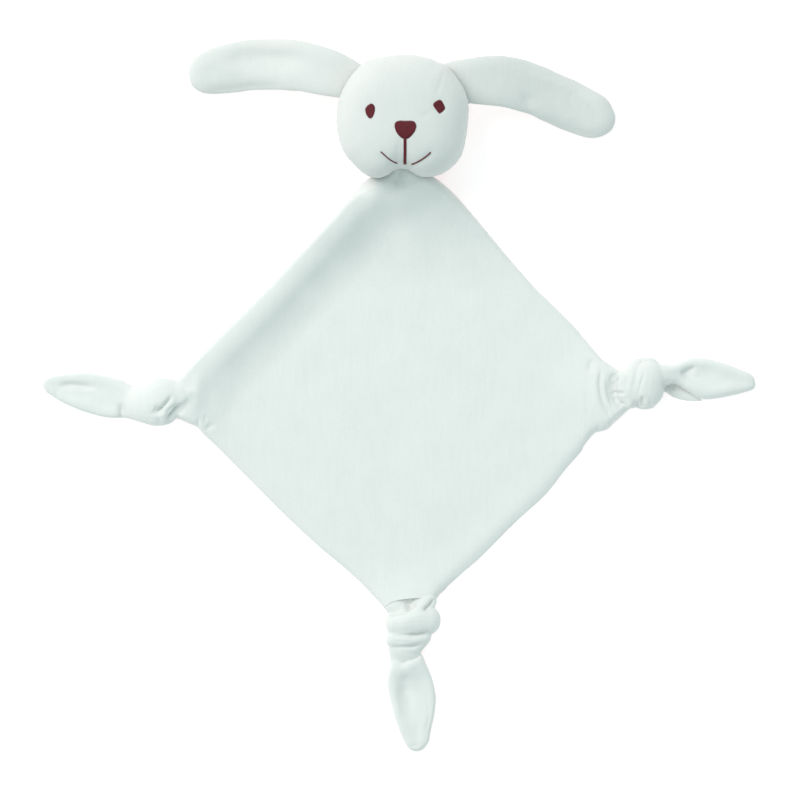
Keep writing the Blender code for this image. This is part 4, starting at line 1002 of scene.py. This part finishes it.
FACE_FOLDS = (
    # line in pixels, half width mm, rise mm, fade share, power
    (((404, 164), (404, 172)), 2.6, -2.2, 0.5, 2.0),
    (((404, 167), (396, 171), (386, 174)), 1.6, -0.8, 0.4, 2.0),
    (((404, 167), (414, 171), (426, 174)), 1.6, -0.8, 0.4, 2.0),
    (((445, 66), (441.5, 80), (437.5, 93), (434, 101)), 0.9, -0.28, 0.35, 1.6),
    (((418, 118), (426, 116), (434, 110)), 1.5, -0.3, 0.4, 2.0),
    (((379, 150.5), (386, 158), (396, 164.5), (404, 167)), 1.8, -0.55, 0.3, 1.8),
    (((436, 147), (428, 156), (415, 164), (404, 167)), 1.8, -0.6, 0.3, 1.8),
    (((403, 160), (400, 168), (396, 173)), 1.2, -0.9, 0.35, 1.6),
    (((406, 162), (410, 168), (414, 173)), 1.1, -0.5, 0.35, 1.6),
    (((346, 118), (350, 100), (362, 84)), 5.0, -0.3, 0.4, 2.0),
)
FACE_SWELLS = (
    # middle in pixels, reach across and up mm, rise mm
    ((378, 146), 9.0, 9.0, 0.6),
    ((430, 146), 9.0, 9.0, 0.6),
    ((405, 128), 9.0, 9.0, 0.8),
    ((403, 170), 7.0, 4.5, -1.4),
    ((369.5, 111.5), 3.6, 4.2, -0.7),
    ((439, 107.5), 3.6, 4.0, -0.7),
)


def head_radius(angle):
    """The head's outline as the distance from its middle."""
    outline = flow(px(HEAD_OUTLINE), HEAD_STEP, closed=True) - HEAD_MIDDLE
    angles = np.arctan2(outline[:, 1], outline[:, 0])
    order = angles.argsort()
    reach = np.linalg.norm(outline, axis=1)[order]
    return np.interp(angle, angles[order], reach, period=2 * math.pi)


def bulge(share):
    """How far a rounded form has drawn in at a share of its reach."""
    return np.clip(1 - np.clip(share, 0, 1) ** HEAD_POWER, 0, 1) ** (1 / HEAD_POWER)


def face_relief(places):
    """Small swells and folds of the face, above the plain rounded form."""
    relief = add_folds(np.zeros(len(places)), places, FACE_FOLDS)
    for middle, wide, tall, rise in FACE_SWELLS:
        offset = (places - px([middle])[0]) / (np.array([wide, tall]) * MM)
        relief += rise * MM * np.exp(-(offset ** 2).sum(1))
    return relief


def face_z(places):
    """Height of the face over places on the table."""
    offset = places - HEAD_MIDDLE
    share = np.linalg.norm(offset, axis=1) / head_radius(np.arctan2(offset[:, 1], offset[:, 0]))
    relief = face_relief(places) * smoothstep((1 - share) / RELIEF_FADE)
    return SEAM_Z + size("face_height") * bulge(share) + relief


def head_shell(name, start, end, front, finish):
    """One panel of the head between two angles, a shell with its own thickness; the face is a full turn."""
    columns = HEAD_COLUMNS if front else HEAD_COLUMNS // 2
    angles = start + (end - start) * np.arange(columns if front else columns + 1) / columns
    outward = np.stack([np.cos(angles), np.sin(angles)], 1)
    radius = head_radius(angles)
    layers = []
    for row in range(HEAD_ROWS):
        share = math.sin(math.pi / 2 * row / HEAD_ROWS)
        from_seam = (size("face_height") if front else size("back_depth")) * share
        groove = SEAM_GROOVE * math.exp(-(from_seam / SEAM_GROOVE_WIDTH) ** 2)
        pull = SEAM_PULL * math.exp(-(from_seam / SEAM_PULL_WIDTH) ** 2) * np.sin(angles * SEAM_STITCHES)
        places = HEAD_MIDDLE + outward * (radius * bulge(share))[:, None]
        places -= outward * (groove + pull)[:, None]
        if front:
            z = SEAM_Z + SEAM_GAP + from_seam + face_relief(places) * smoothstep(from_seam / RELIEF_START)
        else:
            ridge = BACK_RIDGE * np.exp(-((places[:, 0] - NECK_X) / BACK_RIDGE_WIDTH) ** 2)
            z = SEAM_Z - SEAM_GAP - from_seam + ridge * smoothstep(from_seam / BACK_RIDGE_START)
            z = np.maximum(z, HEAD_LOWEST)
        layers.append(np.column_stack([places, z]))
    pole_z = face_z(HEAD_MIDDLE[None])[0] if front else SEAM_Z - size("back_depth") + POLE_RISE
    vertices = np.vstack([*layers, (*HEAD_MIDDLE, pole_z)])
    if not front:
        vertices[:, 0] += SEAM_GAP if start < 0 else -SEAM_GAP
    width = len(angles)
    faces = weave(HEAD_ROWS, width, closed=front, flip=not front)
    faces += fan((HEAD_ROWS - 1) * width, width, HEAD_ROWS * width, closed=front, flip=not front)
    made = add_object(name, vertices, faces, finish)
    apply_step(made, "SOLIDIFY", thickness=HEAD_WALL, offset=-1)
    return made


def cut_neck_opening(shells):
    """Open the back panels round the neck."""
    bpy.ops.mesh.primitive_cylinder_add(vertices=48, radius=0.0080, depth=0.020,
                                        location=(NECK_X, 0.1110, NECK_Z), rotation=(math.pi / 2, 0, 0))
    cutter = bpy.context.object
    for shell in shells:
        apply_step(shell, "BOOLEAN", operation="DIFFERENCE", solver="EXACT", object=cutter)
    bpy.data.objects.remove(cutter)


def build_head(finish):
    """The face panel and the two back panels, with seams between them, and the neck opening."""
    face = head_shell("head_face", 0, 2 * math.pi, True, finish)
    right = head_shell("head_back_right", -math.pi / 2, math.pi / 2, False, finish)
    left = head_shell("head_back_left", math.pi / 2, 3 * math.pi / 2, False, finish)
    cut_neck_opening([right, left])
    for made, node in ((face, "head_face_panel"), (right, "head_back_right_panel"),
                       (left, "head_back_left_panel")):
        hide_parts(node)
        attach(made, "head")


# Ears

EAR_SPACING = 0.0008
EAR_RIM = 0.0026
# At the head, and where the ear lies on the table
EAR_MIDDLE = (0.0220, 0.0042)
EAR_ROUNDING = (0.0060, 0.0072)
EAR_HALF_AT_HEAD = 0.0026
EAR_PUFF = (0.10, 0.016, 2.0)
EAR_UNDER_SHARE = 0.95
EAR_LOWEST = 0.0003

PLUMP_VOXEL = 0.0025
PLUMP_MOST = 0.0009
PLUMP_SIDEWAYS = 0.25
PLUMP_NEIGHBOURS = 5
PLUMP_MIX = 0.0004
PLUMP_FRAMES = 20
SEWN_X = 0.040
SEWN_FADE = 0.012
PLUMP_SETTINGS = dict(
    quality=8, mass=0.05, tension_stiffness=12, compression_stiffness=12, shear_stiffness=6,
    bending_stiffness=0.2, use_pressure=True, uniform_pressure_force=4, vertex_group_mass="sewn")

EARS = {
    "left": dict(
        outline=((366, 66), (362, 65), (358, 63), (350, 58), (340, 53), (330, 49), (320, 46), (310, 43),
                 (300, 41), (290, 39.5), (275, 39), (262, 39), (250, 39.5), (240, 41), (230, 43),
                 (220, 45.5), (210, 49), (200, 54), (193, 60), (189.5, 68), (189, 77), (192, 86),
                 (200, 92), (210, 94), (225, 93.5), (240, 92), (250, 90.5), (262, 90), (280, 90),
                 (290, 91), (300, 91.5), (310, 93.5), (320, 95.5), (330, 97), (340, 98.5), (344, 99)),
        folds=(
            (((205, 61), (225, 58), (258, 57), (292, 59), (322, 64)), 5.0, -2.2, 0.35, 2.0),
            (((205, 76), (240, 74), (280, 73), (320, 78)), 4.5, 0.4, 0.30, 2.0),
            (((203, 89.5), (225, 90), (245, 88), (262, 87), (288, 87.5)), 1.8, -1.7, 0.30, 1.6),
        ),
        root_x=0.028, droop=0.052,
        start=(-0.0265, 0.1545, 0.022), end=(-0.0400, 0.1640, 0.018)),
    "right": dict(
        outline=((440, 66), (444, 64), (452, 61.5), (460, 60), (470, 58.5), (480, 57), (495, 56),
                 (505, 56.5), (515, 58), (525, 60), (535, 63.5), (545, 67), (555, 71.5), (565, 76),
                 (575, 80), (585, 85.5), (595, 91), (603, 95.5), (609, 101.5), (613, 109), (615.5, 117),
                 (614, 126), (609, 132.5), (600, 137), (590, 138), (580, 136), (570, 132.5), (560, 129),
                 (550, 124.5), (540, 120), (530, 115), (520, 112), (510, 109), (500, 107), (485, 105.5),
                 (470, 104), (464, 103)),
        folds=(
            (((524, 110), (529, 101), (533, 92)), 3.6, -0.9, 0.45, 2.0),
            (((541, 118), (556, 125.5), (572, 131.5), (588, 135), (602, 133)), 1.5, -1.5, 0.30, 1.6),
            (((500, 80), (535, 87), (570, 100), (600, 115)), 5.0, -0.4, 0.35, 2.0),
        ),
        root_x=0.03294, droop=0.058,
        start=(0.0315, 0.1525, 0.022), end=(0.0460, 0.1600, 0.018)),
}


def ear_heights(outline, spec):
    """Heights of an ear: a softly stuffed sleeve that droops from the head to the table."""
    line = np.vstack([outline, outline[:1]])

    def heights(places):
        drop = smoothstep((np.abs(places[:, 0]) - spec["root_x"]) / spec["droop"])
        middle = lerp(*EAR_MIDDLE, drop)
        half = lerp(EAR_HALF_AT_HEAD, size("ear_thickness") / 2, drop)
        rounding = rounded(to_line(places, line)[0], lerp(*EAR_ROUNDING, drop))
        puff = add_folds(half * (1 + uneven(places, EAR_PUFF)), places, spec["folds"])
        under = np.maximum(middle - half * rounding * EAR_UNDER_SHARE, EAR_LOWEST)
        return middle + puff * rounding, middle, under

    return heights


def plump(obj):
    """Blow up an ear with pressure inside a coarse cloth copy, and carry the change over to the fine mesh."""
    coarse = copy_of(obj)
    apply_step(coarse, "REMESH", mode="VOXEL", voxel_size=PLUMP_VOXEL)
    start = read_vertices(coarse)
    sewn = coarse.vertex_groups.new(name="sewn")
    for k, away in enumerate((np.abs(start[:, 0]) - SEWN_X) / SEWN_FADE):
        sewn.add([k], float(1 - smoothstep(away)), "REPLACE")
    cloth = coarse.modifiers.new("filling", "CLOTH")
    for name, value in PLUMP_SETTINGS.items():
        setattr(cloth.settings, name, value)
    cloth.settings.effector_weights.gravity = 0
    cloth.collision_settings.use_collision = False
    cloth.point_cache.frame_start, cloth.point_cache.frame_end = 1, PLUMP_FRAMES
    for number in range(1, PLUMP_FRAMES + 1):
        bpy.context.scene.frame_set(number)
    filled = coarse.evaluated_get(bpy.context.evaluated_depsgraph_get())
    moved = read_vertices(filled) - start
    bpy.context.scene.frame_set(1)
    tree = KDTree(len(start))
    for k, place in enumerate(start):
        tree.insert(place, k)
    tree.balance()
    co = read_vertices(obj)
    change = np.zeros_like(co)
    for k, place in enumerate(co):
        near = tree.find_n(place, PLUMP_NEIGHBOURS)
        weights = np.array([1 / (distance + PLUMP_MIX) ** 2 for _, _, distance in near])
        change[k] = (moved[[index for _, index, _ in near]] * weights[:, None]).sum(0) / weights.sum()
    length = np.linalg.norm(change, axis=1)[:, None]
    change *= PLUMP_MOST * np.tanh(length / PLUMP_MOST) / np.maximum(length, 1e-9)
    co += change * (PLUMP_SIDEWAYS, PLUMP_SIDEWAYS, 1)
    co[:, 2] = np.maximum(co[:, 2], EAR_LOWEST)
    write_vertices(obj, co)
    bpy.data.meshes.remove(coarse.data)


def build_ears(finish):
    """Both ears, each a flat stuffed sleeve."""
    for side, spec in EARS.items():
        outline = flow(px(spec["outline"]), EAR_SPACING, closed=True)
        made = pillow(f"ear_{side}", outline, EAR_SPACING, EAR_RIM, ear_heights(outline, spec), finish)
        plump(made)
        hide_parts(f"ear_{side}_front_panel", f"ear_{side}_back_panel", f"ear_{side}_wadding")
        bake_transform(made)


# Embroidery

SATINS = (
    # name, node, outline in pixels, slant in degrees, spacing and width in threads, lift
    ("eye_left_satin", "eye_left", (
        (372.6, 105), (369.3, 105.6), (366.4, 107.6), (364.7, 110.6), (365.2, 113.8), (366.7, 117.2),
        (369.3, 119.4), (372.3, 118.8), (374.4, 116), (375.6, 111.8), (375.4, 107.6)), 8, 0.7, 0.9, 0.00045),
    ("eye_right_satin", "eye_right", (
        (439, 101.2), (436.2, 102), (433.4, 103.9), (432.3, 106.2), (434, 109.2), (436.6, 112.4),
        (439.4, 114.6), (442, 113.4), (444.8, 111.2), (445.8, 109), (444.2, 105.6), (442, 102.2)),
     -8, 0.7, 0.9, 0.00045),
    ("nose_satin", "nose", (
        (397, 121.8), (401, 121), (405.5, 121.2), (410, 121), (413.8, 121.8), (415.6, 124.5), (415.9, 128.5),
        (414.8, 132.8), (412.2, 137), (408.8, 140.2), (405.2, 141.4), (401.6, 140), (398.2, 136.8),
        (395.8, 132.5), (394.8, 127.5), (395.2, 123.8)), 90, 0.75, 1.0, 0.00065),
)
STEMS = (
    # name, node, line in pixels, strands, width in threads, lift
    ("mouth_centre_stem", "mouth_centre_stitch", ((405, 139.5), (405, 152), (404.8, 165.5)), 3, 1.3, 0.00035),
    ("mouth_left_stem", "mouth_left_stitch",
     ((380.5, 152.3), (384, 155.6), (389, 160), (394, 163), (397.5, 164.6)), 1, 1.55, 0.00022),
    ("mouth_right_stem", "mouth_right_stitch",
     ((431, 153), (427, 156.8), (421, 161), (415, 164.2), (411, 165.4)), 1, 1.8, 0.00025),
)
STITCH_SINK = 0.35
SATIN_STEP = 0.0002
SATIN_INSET = 0.35
SATIN_FLATNESS = 0.65
SATIN_SHORTEST = 0.0006
SATIN_WANDER = 0.00012
STEM_SPACING = 0.0001
STEM_STEP = 12
STEM_REACH = 22
STEM_SLANT = 0.18
STRAND_GAP = 0.85


def model_stitch():
    """One plump stitch along Z, of unit length, thickest in its middle."""
    bpy.ops.mesh.primitive_cylinder_add(vertices=8, radius=0.5, depth=1, location=(0, 0, 0))
    made = bpy.context.object
    bpy.ops.object.mode_set(mode="EDIT")
    bpy.ops.mesh.select_mode(type="EDGE")
    bpy.ops.mesh.select_all(action="DESELECT")
    bm = bmesh.from_edit_mesh(made.data)
    for edge in bm.edges:
        edge.select = abs(edge.verts[0].co.z - edge.verts[1].co.z) > 0.5
    bmesh.update_edit_mesh(made.data)
    bpy.ops.mesh.subdivide(number_cuts=7)
    bpy.ops.mesh.select_mode(type="VERT")
    for level, girth in ((0.5, 0.35), (0.375, 0.8)):
        bm = bmesh.from_edit_mesh(made.data)
        for vert in bm.verts:
            vert.select = abs(abs(vert.co.z) - level) < 0.01
        bmesh.update_edit_mesh(made.data)
        bpy.ops.transform.resize(value=(girth, girth, 1), center_override=(0, 0, 0))
    bpy.ops.object.mode_set(mode="OBJECT")
    return made


def sew(stitch, start, end, width, lift):
    """A copy of the stitch laid on the face from one place to another."""
    made = copy_of(stitch)
    co = read_vertices(made)
    along = end - start
    side = np.array([-along[1], along[0]]) / max(np.linalg.norm(along), 1e-9)
    share = co[:, 2] + 0.5
    places = start + along * share[:, None] + side * (co[:, 0] * width)[:, None]
    arch = 1 - (2 * share - 1) ** 4
    base = face_z(start + along * share[:, None])
    z = base + lift * arch - width * STITCH_SINK * (1 - arch) + co[:, 1] * width
    write_vertices(made, np.column_stack([places, z]))
    return made


def satin(stitch, outline, slant, spacing, width, lift):
    """The parallel stitches across an outline."""
    spacing, width = spacing * size("thread_width"), width * size("thread_width")
    shape = flow(px(outline), SATIN_STEP, closed=True)
    middle = shape.mean(0)
    along = np.array([math.cos(math.radians(slant)), math.sin(math.radians(slant))])
    across = np.array([-along[1], along[0]])
    local = (shape - middle) @ np.stack([along, across], 1)
    following = np.roll(local, -1, 0)
    low, high = local[:, 1].min(), local[:, 1].max()
    count = int((high - low) / spacing)
    parts = []
    for k in range(count + 1):
        level = lerp(low + width * SATIN_INSET, high - width * SATIN_INSET, k / count)
        crossing = (local[:, 1] > level) != (following[:, 1] > level)
        a, b = local[crossing], following[crossing]
        hits = a[:, 0] + (b[:, 0] - a[:, 0]) * (level - a[:, 1]) / (b[:, 1] - a[:, 1])
        if len(hits) < 2 or hits.max() - hits.min() < SATIN_SHORTEST:
            continue
        ends = []
        for hit, seed in ((hits.min(), (3.0, 1.0)), (hits.max(), (9.0, 4.0))):
            wander = SATIN_WANDER * noise.noise(Vector((k * 0.7, *seed)))
            ends.append(middle + along * (hit + wander) + across * level)
        dome = SATIN_FLATNESS + (1 - SATIN_FLATNESS) * math.sin(math.pi * k / count)
        parts.append(sew(stitch, *ends, width, lift * dome))
    return parts


def stem(stitch, points, strands, width, lift):
    """The slanted stitches of a line, which overlap, in one or more strands side by side."""
    width *= size("thread_width")
    line = flow(px(points), STEM_SPACING)
    way = np.gradient(line, axis=0)
    side = np.stack([-way[:, 1], way[:, 0]], 1) / np.linalg.norm(way, axis=1)[:, None]
    parts = []
    for strand in range(strands):
        shift = (strand - (strands - 1) / 2) * width * STRAND_GAP
        for k in range(0, len(line) - STEM_REACH // 2, STEM_STEP):
            end = min(k + STEM_REACH, len(line) - 1)
            first = line[k] + side[k] * (shift - width * STEM_SLANT)
            last = line[end] + side[end] * (shift + width * STEM_SLANT)
            parts.append(sew(stitch, first, last, width, lift))
    return parts


def build_embroidery(finish):
    """Eyes, nose and mouth."""
    stitch = model_stitch()
    for table, kind in ((SATINS, satin), (STEMS, stem)):
        for name, node, *settings in table:
            made = join(name, kind(stitch, *settings))
            paint(made, finish)
            made.data.shade_smooth()
            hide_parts(node)
            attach(made, "head")
    bpy.data.objects.remove(stitch)


FILLING_COLUMNS = 72
FILLING_ROWS = 25
FILLING_GAP = 0.0030
FILLING_POLE_GAP = 0.0032
HOLLOW_REACH = 0.0095
HOLLOW_DEPTH = 0.016
HOLLOW_END_Y = 0.125


def build_filling(finish):
    """The head's filling, a soft mass inside its skin, hollow where the neck's plug enters."""
    angles = np.linspace(0, 2 * math.pi, FILLING_COLUMNS, endpoint=False)
    radius = head_radius(angles) - FILLING_GAP
    vertices = []
    for row in range(1, FILLING_ROWS):
        share = math.sin(math.pi * row / FILLING_ROWS - math.pi / 2)
        depth = (size("face_height") if share > 0 else size("back_depth")) - FILLING_GAP
        z = SEAM_Z + depth * share
        for angle, far in zip(angles, radius * bulge(abs(share))):
            x, y = HEAD_MIDDLE[0] + math.cos(angle) * far, HEAD_MIDDLE[1] + math.sin(angle) * far
            hollow = max(0, 1 - math.hypot(x - NECK_X, z - NECK_Z) / HOLLOW_REACH) * (y < HOLLOW_END_Y)
            vertices.append((x, y + hollow * HOLLOW_DEPTH, z))
    pole = len(vertices)
    vertices.append((*HEAD_MIDDLE, SEAM_Z - size("back_depth") + FILLING_POLE_GAP))
    vertices.append((*HEAD_MIDDLE, SEAM_Z + size("face_height") - FILLING_POLE_GAP))
    faces = weave(FILLING_ROWS - 1, FILLING_COLUMNS)
    faces += fan(0, FILLING_COLUMNS, pole, flip=True)
    faces += fan(pole - FILLING_COLUMNS, FILLING_COLUMNS, pole + 1)
    made = add_object("head_filling", vertices, faces, finish)
    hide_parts("head_stuffing")
    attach(made, "head")


# Stage

TABLE_SIZE = 12
# The table's own pink-tinted glow is painted light: it lifts the shadows on the table to white and brightens
# the cloth from below.
TABLE_GLOW = (1, 0.79, 0.80, 1)
TABLE_GLOW_STRENGTH = 0.40
OPEN_LIGHT = (0.815, 1.0, 0.985, 1)
OPEN_LIGHT_STRENGTH = 0.79
KEY_SIZE = 1.7
KEY_POWER = 48
KEY_COLOUR = (1.0, 0.925, 0.90)
KEY_PLACE = (-1.3, 1.35, 2.1)
SENSOR = 36


def build_stage(white):
    """A pale table that glows with painted light of its own, a soft key light from the upper left, open fill
    light and the camera above.
    """
    bpy.ops.mesh.primitive_plane_add(size=TABLE_SIZE, location=(0, 0, 0))
    table = bpy.context.object
    table.name = "table"
    finish, _, shader = new_finish("table_white_glowing", 0.1)
    # The emission is the table's painted glow, light that no lamp gives.
    set_inputs(shader, Base_Color=(*white, 1), Roughness=0.9, Emission_Color=TABLE_GLOW,
               Emission_Strength=TABLE_GLOW_STRENGTH)
    table.data.materials.append(finish)

    world = bpy.data.worlds.new("studio")
    world.use_nodes = True
    set_inputs(world.node_tree.nodes["Background"], Color=OPEN_LIGHT, Strength=OPEN_LIGHT_STRENGTH)
    bpy.context.scene.world = world

    key = bpy.data.lights.new("key", "AREA")
    key.shape = "DISK"
    key.size = KEY_SIZE
    key.energy = KEY_POWER
    key.color = KEY_COLOUR
    lamp = bpy.data.objects.new("key", key)
    lamp.location = KEY_PLACE
    lamp.rotation_euler = (-Vector(KEY_PLACE)).to_track_quat("-Z", "Y").to_euler()
    bpy.context.scene.collection.objects.link(lamp)

    lens = bpy.data.cameras.new("camera")
    lens.sensor_width = SENSOR
    lens.lens = SENSOR * CAMERA_HEIGHT / VIEW_WIDTH
    lens.clip_start = 0.1
    lens.clip_end = 60
    camera = bpy.data.objects.new("camera", lens)
    camera.location = (*px([(400, 400)])[0], CAMERA_HEIGHT)
    bpy.context.scene.collection.objects.link(camera)
    bpy.context.scene.camera = camera
    view = bpy.context.scene.view_settings
    view.view_transform = "Standard"
    view.look = "None"
    view.exposure = 0
    view.gamma = 1


# Add-on

def colour_setting(name, note, default):
    """A colour in the sidebar."""
    return bpy.props.FloatVectorProperty(name=name, description=note, subtype="COLOR", size=3, min=0, max=1,
                                         default=default)


def length_setting(name, note, default, low, high):
    """A length in the sidebar."""
    return bpy.props.FloatProperty(name=name, description=note, unit="LENGTH", default=default, min=low,
                                   max=high)


class LOVEY_PG_colours(bpy.types.PropertyGroup):
    """Colours of the lovey."""
    velour: colour_setting("Velour", "Colour of the velour cloth", (0.726, 0.727, 0.716))
    # The head and ears' colour is a darker copy of the blanket's velour: painted shade that dims them under
    # the same light.
    head: colour_setting("Head velour", "Colour of the head and ears", (0.652, 0.655, 0.645))
    thread: colour_setting("Thread", "Colour of the embroidery", (0.115, 0.011, 0.018))
    table: colour_setting("Table", "Colour of the table", (0.93, 0.93, 0.93))


class LOVEY_PG_sizes(bpy.types.PropertyGroup):
    """Sizes of the lovey."""
    face_height: length_setting("Face height", "Height of the face above its side seam", 0.0275, 0.015, 0.030)
    back_depth: length_setting("Back depth", "Depth of the head below its side seam", 0.0238, 0.010, 0.0238)
    ear_thickness: length_setting("Ear thickness", "Thickness of an ear where it lies", 0.0092, 0.004, 0.014)
    thread_width: length_setting("Thread width", "Width of one embroidery thread", 0.0004, 0.0002, 0.0008)
    pile: length_setting("Pile", "Depth of the velour's pile", 0.0003, 0, 0.001)


def size(name):
    """One of the sizes in the sidebar, in metres."""
    return getattr(bpy.context.scene.lovey_sizes, name)


def velour_finish(context, name, mottle=0.5):
    """A velour in the colour chosen for the blanket or for the head and ears, the latter a darker copy of the
    same velour as painted shade.
    """
    colours = context.scene.lovey_colours
    chosen = colours.velour if name == "blanket_velour" else colours.head
    return bpy.data.materials.get(name) or velour(name, tuple(chosen), mottle)


class LOVEY_OT_blanket(bpy.types.Operator):
    """Build the middle cloth of the blanket"""
    bl_idname = "lovey.blanket"
    bl_label = "Blanket cloth"

    def execute(self, context):
        build_blanket(velour_finish(context, "blanket_velour"))
        return {"FINISHED"}


class LOVEY_OT_corners(bpy.types.Operator):
    """Build the three gathered and knotted corners with their tails"""
    bl_idname = "lovey.corners"
    bl_label = "Knotted corners and tails"

    def execute(self, context):
        build_corners(velour_finish(context, "blanket_velour"))
        return {"FINISHED"}


class LOVEY_OT_head(bpy.types.Operator):
    """Build the head's panels and its filling"""
    bl_idname = "lovey.head"
    bl_label = "Head"

    def execute(self, context):
        build_head(velour_finish(context, "head_velour_painted_shade"))
        build_filling(velour_finish(context, "filling_fibre", mottle=1.0))
        return {"FINISHED"}


class LOVEY_OT_ears(bpy.types.Operator):
    """Build both ears"""
    bl_idname = "lovey.ears"
    bl_label = "Ears"

    def execute(self, context):
        build_ears(velour_finish(context, "ear_velour_painted_shade"))
        return {"FINISHED"}


class LOVEY_OT_embroidery(bpy.types.Operator):
    """Sew the eyes, nose and mouth, and finish the thread that ties the neck"""
    bl_idname = "lovey.embroidery"
    bl_label = "Embroidery"

    def execute(self, context):
        colours = context.scene.lovey_colours
        build_embroidery(thread("burgundy_satin", tuple(colours.thread)))
        paint(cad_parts["neck_stitching"], thread("white_tie_thread", TIE_WHITE))
        return {"FINISHED"}


class LOVEY_OT_stage(bpy.types.Operator):
    """Set the table, the lights and the camera"""
    bl_idname = "lovey.stage"
    bl_label = "Stage"

    def execute(self, context):
        build_stage(tuple(context.scene.lovey_colours.table))
        return {"FINISHED"}


class LOVEY_PT_panel(bpy.types.Panel):
    """Lists the lovey's colours, sizes and pieces."""
    bl_label = "Lovey"
    bl_idname = "LOVEY_PT_panel"
    bl_space_type = "VIEW_3D"
    bl_region_type = "UI"
    bl_category = "Lovey"

    def draw(self, context):
        layout = self.layout
        for name in ("velour", "head", "thread", "table"):
            layout.prop(context.scene.lovey_colours, name)
        for name in ("face_height", "back_depth", "ear_thickness", "thread_width", "pile"):
            layout.prop(context.scene.lovey_sizes, name)
        for operator in OPERATORS:
            layout.operator(operator.bl_idname)


OPERATORS = (LOVEY_OT_stage, LOVEY_OT_blanket, LOVEY_OT_corners, LOVEY_OT_head, LOVEY_OT_ears,
             LOVEY_OT_embroidery)
CLASSES = (LOVEY_PG_colours, LOVEY_PG_sizes, *OPERATORS, LOVEY_PT_panel)


def register():
    """Add the classes and the scene's settings."""
    for each in CLASSES:
        bpy.utils.register_class(each)
    bpy.types.Scene.lovey_colours = bpy.props.PointerProperty(type=LOVEY_PG_colours)
    bpy.types.Scene.lovey_sizes = bpy.props.PointerProperty(type=LOVEY_PG_sizes)


def unregister():
    """Take them out again."""
    del bpy.types.Scene.lovey_colours
    del bpy.types.Scene.lovey_sizes
    for each in reversed(CLASSES):
        bpy.utils.unregister_class(each)


def main():
    """Build the stage and every piece."""
    register()
    bpy.ops.lovey.stage()
    bpy.ops.lovey.blanket()
    bpy.ops.lovey.corners()
    bpy.ops.lovey.head()
    bpy.ops.lovey.ears()
    bpy.ops.lovey.embroidery()
    bpy.context.view_layer.update()


if __name__ == "__main__":
    main()
